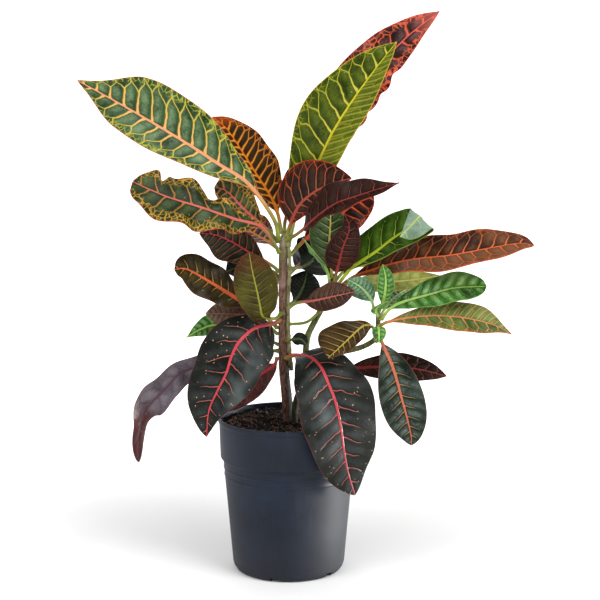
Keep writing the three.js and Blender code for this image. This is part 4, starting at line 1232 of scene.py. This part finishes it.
def scar_rings(finish, place, height, broad):
    """Mask of the broken rings that fallen leaves left round the bark."""
    wander = height + (broad - 0.5) * SCAR_WANDER
    ring = 1 - finish.between(finish.math("PINGPONG", wander, SCAR_HALF_SPACING), 0.2, 1.3)
    return ring * finish.between(finish.noise(place, 140.0, 2.0), 0.45, 0.6)


def painted_shade_side(finish, place, height):
    """Mask of painted shade on the right of the trunk's lower part, which follows the trunk's lean."""
    across = finish.node("SeparateXYZ", values={0: place}, output=0) * 1000
    leaning = across + LEAN_SHIFT * finish.between(height, LEAN_START, LEAN_END) - 4
    low = 1 - finish.between(height, DARK_SIDE_FADE, DARK_SIDE_END)
    return finish.between(leaning, -2.0, 3.0) * low


def bark(name):
    """Bark with long cracks, flecks and rings of scars, greener where the stem is young."""
    dark, light, scar, young = BARKS[name]
    finish = Finish(name)
    place = finish.place()
    stretch = finish.node("Mapping", values={"Vector": place, "Scale": (1.0, 1.0, 0.28)})
    cracks = finish.noise(stretch, 620.0, 6.0, 0.65)
    flecks = finish.noise(place, 900.0, 3.0, 0.6)
    broad = finish.noise(place, 55.0, 3.0)
    height = finish.node("SeparateXYZ", values={0: place}, output=2) * 1000
    ring = scar_rings(finish, place, height, broad)
    colour = finish.blend(finish.between(cracks, 0.36, 0.66), paint(*dark), paint(*light))
    green = finish.between(height, YOUNG_START, YOUNG_FULL)
    colour = finish.blend(green * 0.7, colour, paint(*young))
    colour = finish.blend(finish.between(broad, 0.5, 0.72) * 0.5, colour, paint(*scar))
    colour = finish.blend(finish.between(flecks, 0.62, 0.72) * 0.55, colour, paint(*scar))
    colour = finish.blend(ring * 0.55, colour, darker(dark, 0.6))
    # Painted shade: the right side of the trunk's foot is darkened as if the leaves shaded it
    colour = finish.blend(painted_shade_side(finish, place, height) * 0.7, colour, darker(dark, 0.3))
    finish.bump(cracks + 0.4 * flecks - 0.6 * ring, strength=0.8, distance=0.0007)
    return finish.set(Base_Color=colour, Roughness=0.68 + 0.2 * cracks, Specular_IOR_Level=0.12)


def pot_plastic():
    """Dark slate moulded plastic: fine grain, faint flow marks, dust specks and a paler grey by the base.
    """
    finish = Finish("slate_plastic")
    place = finish.place()
    grain = finish.noise(place, 1500.0, 2.0, 0.5)
    cloud = finish.noise(place, 22.0, 4.0, 0.6)
    flow = finish.node("Mapping", values={"Vector": place, "Scale": (1.0, 1.0, 0.12)})
    streak = finish.noise(flow, 90.0, 3.0, 0.6)
    height = finish.node("SeparateXYZ", values={0: place}, output=2) * 1000
    # Paler and greyer towards the base
    low = 1 - finish.between(height, FOOT_GREY_START, FOOT_GREY_END)
    colour = finish.blend(finish.between(cloud, 0.3, 0.75), paint(9, 18, 31), paint(20, 31, 48))
    colour = finish.blend(low * 0.5, colour, paint(40, 42, 48))
    colour = finish.blend(finish.between(streak, 0.55, 0.85) * 0.3, colour, paint(48, 52, 62))
    dust = finish.between(finish.noise(place, 400.0, 5.0, 0.7), 0.62, 0.75) * 0.25
    colour = finish.blend(dust, colour, paint(84, 82, 80))
    finish.bump(grain + 0.6 * streak, strength=0.25, distance=0.0002)
    rough = 0.42 + 0.14 * cloud + 0.1 * grain
    return finish.set(Base_Color=colour, Roughness=rough, Specular_IOR_Level=0.24)


def potting_mix():
    """Damp dark compost with browner crumbs."""
    finish = Finish("potting_mix")
    place = finish.place()
    crumbs = finish.noise(place, 420.0, 6.0, 0.75)
    fine = finish.noise(place, 1600.0, 3.0, 0.6)
    cells = finish.voronoi(place, 520.0)
    colour = finish.blend(finish.between(crumbs, 0.36, 0.62), paint(8, 6, 5), paint(30, 21, 17))
    colour = finish.blend(finish.between(fine, 0.6, 0.78) * 0.5, colour, paint(70, 52, 43))
    finish.bump(crumbs + 0.5 * fine - 0.6 * cells, strength=1.0, distance=0.0015)
    return finish.set(Base_Color=colour, Roughness=0.9, Specular_IOR_Level=0.2)


def crumb_finish(name, dark, light):
    """Bits of bark, fibre or perlite, each a little different."""
    finish = Finish(name)
    place = finish.place()
    lots = finish.noise(place, 260.0, 2.0, 0.5)
    fine = finish.noise(place, 1900.0, 4.0, 0.7)
    colour = finish.blend(finish.between(lots, 0.35, 0.65), paint(*dark), paint(*light))
    colour = finish.blend(finish.between(fine, 0.5, 0.8) * 0.5, colour, darker(dark, 0.55))
    finish.bump(fine, strength=0.8, distance=0.0006)
    return finish.set(Base_Color=colour, Roughness=0.82, Specular_IOR_Level=0.25)


# Pot

def body_radius(height):
    """Outer radius of the tapered wall below the band."""
    return mix(BASE_RADIUS + BODY_INSET, RIM_RADIUS - BODY_INSET, height / STEP_HEIGHT)


def band_radius(height):
    """Outer radius of the band under the rim."""
    share = (height - STEP_HEIGHT) / BAND_DEPTH
    return mix(RIM_RADIUS - BAND_INSET_AT_FOOT, RIM_RADIUS - BAND_INSET_AT_TOP, share)


def pot_outline():
    """Radius and height of points from the pad under the floor, up the outside and down inside."""
    outline = [
        (PAD_RADIUS, 0),
        (PAD_RADIUS + 1.5, FLOOR_LIFT),
        (FOOT_INNER_RADIUS - 1.5, FLOOR_LIFT),
        (FOOT_INNER_RADIUS, 0),
        (BASE_RADIUS, 0),
        (BASE_RADIUS + 2.6, 1),
        (BASE_RADIUS + 4.2, 3.2),
        (body_radius(7), 7),
        (body_radius(50), 50),
    ]
    for line in reversed(RIB_LINES):
        outline += [
            (body_radius(line - 1.6), line - 1.6),
            (body_radius(line) + 0.45, line - 0.5),
            (body_radius(line) + 0.45, line + 0.5),
            (body_radius(line + 1.6), line + 1.6),
        ]
    outline += [
        (body_radius(STEP_HEIGHT - 3), STEP_HEIGHT - 3),
        (body_radius(STEP_HEIGHT) + 0.8, STEP_HEIGHT - 1),
        (band_radius(STEP_HEIGHT) - 0.4, STEP_HEIGHT + 0.2),
        (band_radius(STEP_HEIGHT + 2), STEP_HEIGHT + 2),
        (band_radius(POT_HEIGHT - 5), POT_HEIGHT - 5),
        (RIM_RADIUS, POT_HEIGHT - 3.6),
        (RIM_RADIUS, POT_HEIGHT - 1),
        (RIM_RADIUS - 1, POT_HEIGHT),
        (RIM_RADIUS - 2.4, POT_HEIGHT),
        (RIM_RADIUS - 3, POT_HEIGHT - 1),
        (band_radius(POT_HEIGHT - 8) - WALL, POT_HEIGHT - 8),
        (band_radius(STEP_HEIGHT + 4) - WALL, STEP_HEIGHT + 4),
        (body_radius(STEP_HEIGHT) - WALL, STEP_HEIGHT - 1),
        (body_radius(9) - WALL, 9),
        (BASE_RADIUS - WALL + 1, FLOOR_LIFT + WALL),
    ]
    return outline


def spun(bm, outline, segments):
    """Turns an outline about the upright axis into a closed body of revolution."""
    verts = [bm.verts.new((radius, 0, height)) for radius, height in outline]
    edges = [bm.edges.new(pair) for pair in zip(verts, verts[1:])]
    bmesh.ops.spin(bm, geom=verts + edges, axis=(0, 0, 1), cent=(0, 0, 0), steps=segments,
                   angle=2 * math.pi, use_merge=True)
    bmesh.ops.remove_doubles(bm, verts=bm.verts, dist=1e-4)
    open_edges = [edge for edge in bm.edges if edge.is_boundary]
    bmesh.ops.holes_fill(bm, edges=open_edges, sides=0)
    bmesh.ops.recalc_face_normals(bm, faces=bm.faces)


def foot_cutters():
    """The shapes that the drain holes and the foot's notches are cut with."""
    bm = bmesh.new()
    for hole in range(DRAIN_COUNT):
        angle = 2 * math.pi * (hole + DRAIN_TURN) / DRAIN_COUNT
        turn = Matrix.Rotation(angle, 4, "Z")
        drain = turn @ Matrix.Translation((DRAIN_CIRCLE, 0, 0))
        bmesh.ops.create_cone(bm, cap_ends=True, segments=DRAIN_SIDES, radius1=DRAIN_RADIUS,
                              radius2=DRAIN_RADIUS, depth=20, matrix=drain)
        reach = 2 * (BASE_RADIUS - FOOT_INNER_RADIUS) + 12
        shape = Matrix.Diagonal((reach, NOTCH_WIDTH, 2 * NOTCH_HEIGHT, 1))
        notch = turn @ Matrix.Translation((BASE_RADIUS, 0, 0)) @ shape
        bmesh.ops.create_cube(bm, size=1, matrix=notch)
    bmesh.ops.scale(bm, vec=(MM, MM, MM), verts=bm.verts)
    return as_object("foot_cutters", bm)


def is_corner(edge):
    """Whether an edge is part of a sharp ring that lies above the table."""
    start, end = (vert.co.z for vert in edge.verts)
    level = abs(start - end) < 1e-3
    return level and start > 0.5 and edge.is_manifold and edge.calc_face_angle() > math.radians(CORNER_TURN)


def cut_away(piece, cutter):
    """Takes the cutter's shapes out of a piece."""
    cut = piece.modifiers.new("foot", "BOOLEAN")
    cut.object = cutter
    cut.operation = "DIFFERENCE"
    cut.solver = "EXACT"
    bpy.context.view_layer.update()
    shaped = piece.evaluated_get(bpy.context.evaluated_depsgraph_get())
    mesh = bpy.data.meshes.new_from_object(shaped)
    piece.modifiers.clear()
    piece.data = mesh
    mesh.set_sharp_from_angle(angle=math.radians(POT_SMOOTH_TURN))
    bpy.data.objects.remove(cutter)


def pot_piece():
    """The pot with rounded corners, drain holes and notches."""
    bm = bmesh.new()
    spun(bm, pot_outline(), POT_SEGMENTS)
    corners = [edge for edge in bm.edges if is_corner(edge)]
    bmesh.ops.bevel(bm, geom=corners, affect="EDGES", offset=CORNER_ROUNDING, segments=3, profile=0.5,
                    material=-1)
    piece = finished("pot_fine", bm, [pot_plastic()], "pot_plastic", sharp=POT_SMOOTH_TURN)
    cut_away(piece, foot_cutters())
    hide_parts("pot")
    return piece


# Potting mix

def soil_top(x, y):
    """Height of the soil's surface, as in the part."""
    dome = SOIL_DOME * (1 - (x * x + y * y) / (RIM_RADIUS * RIM_RADIUS))
    crumbs = 1.1 * math.sin(0.31 * x + 1.7) * math.cos(0.27 * y) + 0.8 * math.sin(0.63 * x - 0.44 * y)
    return SOIL_LEVEL + dome + SOIL_TILT * y + crumbs + 0.6 * math.cos(0.9 * y + 0.5 * x)


def broad_lump(x, y):
    """How far a broad lump of the mix lifts its surface."""
    return noise.noise(Vector((x, y, 3)) * 0.23)


def soil_piece():
    """The packed soil with its top made finer and rougher."""
    bm = bmesh.new()
    bm.from_mesh(frame["nodes"]["soil"].data)
    bmesh.ops.scale(bm, vec=(1 / MM, 1 / MM, 1 / MM), verts=bm.verts)
    bmesh.ops.remove_doubles(bm, verts=bm.verts, dist=1e-3)
    lowest = SOIL_LEVEL - SOIL_TOP_DEPTH
    top = [face for face in bm.faces if face.normal.z > 0.5 and face.calc_center_median().z > lowest]
    edges = list({edge for face in top for edge in face.edges})
    bmesh.ops.subdivide_edges(bm, edges=edges, cuts=4, use_grid_fill=True)
    for vert in bm.verts:
        x, y, z = vert.co
        if z > lowest and math.hypot(x, y) < SOIL_EDGE - SOIL_RIM:
            fine_lump = noise.noise(Vector((x, y, 9)) * 0.6)
            vert.co.z = soil_top(x, y) + broad_lump(x, y) * 1.4 + fine_lump * 0.9
    bmesh.ops.triangulate(bm, faces=bm.faces)
    for face in bm.faces:
        face.material_index = 0
    piece = finished("soil_fine", bm, [potting_mix()], "potting_mix", sharp=180)
    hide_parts("soil")
    return piece


def free_spot(chance, clear=7.5):
    """A random point on the soil that is off the stems."""
    while True:
        x = chance.uniform(-SOIL_EDGE, SOIL_EDGE)
        y = chance.uniform(-SOIL_EDGE, SOIL_EDGE)
        inside = math.hypot(x, y) < SOIL_EDGE - SOIL_RIM
        off_main = math.dist((x, y), MAIN_FOOT) > clear
        off_second = math.dist((x, y), SECOND_FOOT) > clear - 2
        if inside and off_main and off_second:
            return Vector((x, y, soil_top(x, y)))


def crumbs(name, count, low, high, colours, seed, flat=0.7, subdivisions=1):
    """Loose bits pressed into the soil, each a squashed and dented ball of a few faces."""
    chance = random.Random(seed)
    bm = bmesh.new()
    for _ in range(count):
        size = mix(low, high, chance.random() ** 2)
        spin = Matrix.Rotation(chance.uniform(0, 6.3), 4, Vector((chance.random(), chance.random(), 1)))
        shape = Matrix.Diagonal((size * chance.uniform(0.7, 1.6), size, size * flat, 1))
        spot = free_spot(chance)
        spot.z += size * 0.25 + broad_lump(spot.x, spot.y)
        place = Matrix.Translation(spot) @ spin @ shape
        made = bmesh.ops.create_icosphere(bm, subdivisions=subdivisions, radius=1, matrix=place)["verts"]
        for vert in made:
            vert.co = spot + (vert.co - spot) * chance.uniform(0.72, 1.2)
    return finished(name, bm, [crumb_finish(name + "_finish", *colours)], "potting_mix", sharp=25)


def fibre_points(chance):
    """Points of one fibre that wanders over the soil."""
    spot = free_spot(chance, clear=9)
    heading = chance.uniform(0, 2 * math.pi)
    curve = chance.uniform(-0.9, 0.9)
    stride = chance.uniform(1.0, 3.2)
    points = []
    for _ in range(FIBRE_STEPS):
        heading += curve + chance.uniform(-0.3, 0.3)
        spot = spot + Vector((math.cos(heading), math.sin(heading), 0)) * stride
        if math.hypot(spot.x, spot.y) > SOIL_EDGE - 2:
            break
        spot.z = soil_top(spot.x, spot.y) + chance.uniform(0.7, 3.2)
        points.append(spot)
    return points


def fibres():
    """Coir fibres and rootlets lying in the soil."""
    chance = random.Random(21)
    bm = bmesh.new()
    for _ in range(FIBRE_COUNT):
        points = fibre_points(chance)
        if len(points) < 3:
            continue
        radius = chance.uniform(0.16, 0.42)
        rings = rings_along(Route(points), lambda share, thick=radius: thick * (1 - 0.5 * share), step=1.6)
        tube(bm, rings, sides=5)
    return finished("coir_fibres", bm, [crumb_finish("coir", (70, 46, 34), (150, 116, 92))], "potting_mix")


# Stems

def stem_rings(stem, step):
    """Rings with the swellings of old leaf scars and small dents of the bark."""
    def radius_at(share):
        distance = share * stem["path"].length
        broad = noise.noise(Vector((distance * 0.16, 3, 0)))
        fine = noise.noise(Vector((distance * 0.5, 0, 0)))
        return stem_radius(stem, share) * (0.985 + 0.045 * broad + 0.03 * fine)
    return rings_along(stem["path"], radius_at, step)


def dented(verts, amount, grain):
    """Moves points a little to and fro, in dents of one grain that are the same in every run."""
    noise.seed_set(DENT_SEED)
    for vert in verts:
        vert.co += noise.noise_vector(vert.co * grain) * amount


def stem_piece(name, node, members, material):
    """A stem with its shoots, as one finer piece for a node of the part."""
    bm = bmesh.new()
    for member in members:
        made = tube(bm, stem_rings(STEMS[member], step=1.6), sides=24)
        dented(made, amount=0.22, grain=0.35)
    piece = finished(name, bm, [material], "bark", sharp=60)
    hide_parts(node)
    return piece


def side_stem():
    """The thin pale stem that runs up against the right side of the main one."""
    bm = bmesh.new()

    def radius_at(share):
        return mix(SIDE_STEM_FOOT, SIDE_STEM_TIP, share) + SIDE_STEM_KNOT * math.sin(29 * share) ** 8

    made = tube(bm, rings_along(Route(SIDE_STEM), radius_at, step=1.4), sides=14)
    dented(made, amount=0.2, grain=0.4)
    return finished("side_stem", bm, [bark("pale_bark")], "bark")


# Studio

def floor_outline():
    """Depth and height of points along the floor, up the sweep and to the backdrop's top."""
    outline = [(FLOOR_FRONT, 0.0), (FLOOR_BACK, 0.0)]
    for step in range(1, SWEEP_STEPS + 1):
        angle = math.radians(90 * step / SWEEP_STEPS)
        depth = FLOOR_BACK + SWEEP_RADIUS * math.sin(angle)
        outline.append((depth, SWEEP_RADIUS - SWEEP_RADIUS * math.cos(angle)))
    outline.append((FLOOR_BACK + SWEEP_RADIUS, BACKDROP_TOP))
    return outline


def studio_paper():
    """Pale paper that glows brighter the further it lies from the pot, a painted shadow round it."""
    finish = Finish("studio_paper")
    place = finish.place()
    paper = finish.noise(place, 30.0, 3.0)
    offset = finish.node("VectorMath", {"operation": "SUBTRACT"}, {0: place, 1: GLOW_CENTRE})
    away = finish.node("VectorMath", {"operation": "LENGTH"}, {0: offset}, output="Value")
    colour = finish.blend(paper * 0.3, (0.81, 0.81, 0.81, 1), (0.78, 0.78, 0.78, 1))
    # Painted shadow: the paper's glow fades towards the pot
    far = finish.between(away, GLOW_START, GLOW_FULL)
    glow = finish.blend(far, (0, 0, 0, 1), (0.9, 0.9, 0.9, 1))
    return finish.set(Base_Color=colour, Roughness=0.9, Specular_IOR_Level=0.0, Emission_Color=glow,
                      Emission_Strength=1.0)


def stage_piece():
    """A pale floor that curves up into a backdrop."""
    bm = bmesh.new()
    verts = [bm.verts.new((-FLOOR_WIDTH / 2, y, z)) for y, z in floor_outline()]
    edges = [bm.edges.new(pair) for pair in zip(verts, verts[1:])]
    made = bmesh.ops.extrude_edge_only(bm, edges=edges)["geom"]
    moved = [item for item in made if isinstance(item, bmesh.types.BMVert)]
    bmesh.ops.translate(bm, vec=(FLOOR_WIDTH, 0, 0), verts=moved)
    bmesh.ops.recalc_face_normals(bm, faces=bm.faces)
    for face in bm.faces:
        face.smooth = True
    floor = as_object("studio_floor", bm)
    floor.data.materials.append(studio_paper())


def lamp(name, place, target, size, power, spread=180, sheen_only=False):
    """A round soft lamp, which may light only the gloss of what it shines on."""
    data = bpy.data.lights.new(name, "AREA")
    data.shape = "DISK"
    data.size = size
    data.energy = power
    data.spread = math.radians(spread)
    light = bpy.data.objects.new(name, data)
    light.visible_diffuse = not sheen_only
    light.location = place
    light.rotation_euler = (Vector(target) - Vector(place)).to_track_quat("-Z", "Y").to_euler()
    bpy.context.scene.collection.objects.link(light)


def studio():
    """Floor, even sky and soft lamps."""
    stage_piece()
    world = bpy.data.worlds.new("studio")
    bpy.context.scene.world = world
    world.use_nodes = True
    sky = world.node_tree.nodes["Background"]
    sky.inputs["Color"].default_value = (1, 1, 1, 1)
    sky.inputs["Strength"].default_value = SKY_STRENGTH
    lamp("key", (1.3, -1.2, 2.0), LAMP_TARGET, size=1.5, power=48)
    lamp("fill", (-1.5, -1.3, 1.9), LAMP_TARGET, size=1.6, power=32)
    lamp("side", (0.8, 0.02, 0.1), (0, 0, 0.06), size=0.4, power=3, spread=26, sheen_only=True)
    lamp("rear", (-0.3, 1.6, 1.8), LAMP_TARGET, size=1.6, power=5)
    scene = bpy.context.scene
    scene.view_settings.view_transform = "Standard"
    scene.view_settings.look = "None"


def camera():
    """The camera at the photograph's angle."""
    data = bpy.data.cameras.new("camera")
    data.lens = CAMERA_LENS
    data.sensor_width = SENSOR_WIDTH
    view = bpy.data.objects.new("camera", data)
    view.location = CAMERA_PLACE
    view.rotation_euler = (math.radians(90 - CAMERA_PITCH), 0, 0)
    bpy.context.scene.collection.objects.link(view)
    bpy.context.scene.camera = view


# The whole plant

def plant():
    """The stems and every leaf, each with the look that its entry names."""
    for stem in STEMS.values():
        stem["path"] = Route(stem["route"])
    stem_piece("stem_main_fine", "stem_main", ["main"], bark("brown_bark"))
    stem_piece("stem_second_fine", "stem_second", ["second", "shoot"], bark("green_bark"))
    side_stem()
    tops = {name: leaf_top("top_" + name, look) for name, look in LOOKS.items()}
    reverses = {name: leaf_reverse("reverse_" + name, look) for name, look in REVERSES.items()}
    stalks = {name: leaf_stalk("stalk_" + name, {**LOOK_FORM, **look}) for name, look in LOOKS.items()}
    for number, entry in enumerate(LEAVES):
        leaf = {**LEAF_FORM, **entry}
        look = leaf["look"]
        leaf_piece(leaf, number, [tops[look], reverses[REVERSE_OF[look]], stalks[look]])


def build():
    """The whole scene."""
    camera()
    studio()
    pot_piece()
    soil_piece()
    crumbs("bark_chips", count=260, low=1.2, high=3.4, colours=[(13, 9, 7), (36, 24, 18)], seed=5)
    crumbs("soil_crumbs", count=900, low=0.6, high=1.8, colours=[(6, 5, 4), (21, 15, 12)], seed=8)
    crumbs("perlite", count=16, low=0.7, high=1.6, colours=[(190, 184, 172), (222, 218, 208)], seed=13,
           flat=0.9, subdivisions=2)
    fibres()
    plant()


build()
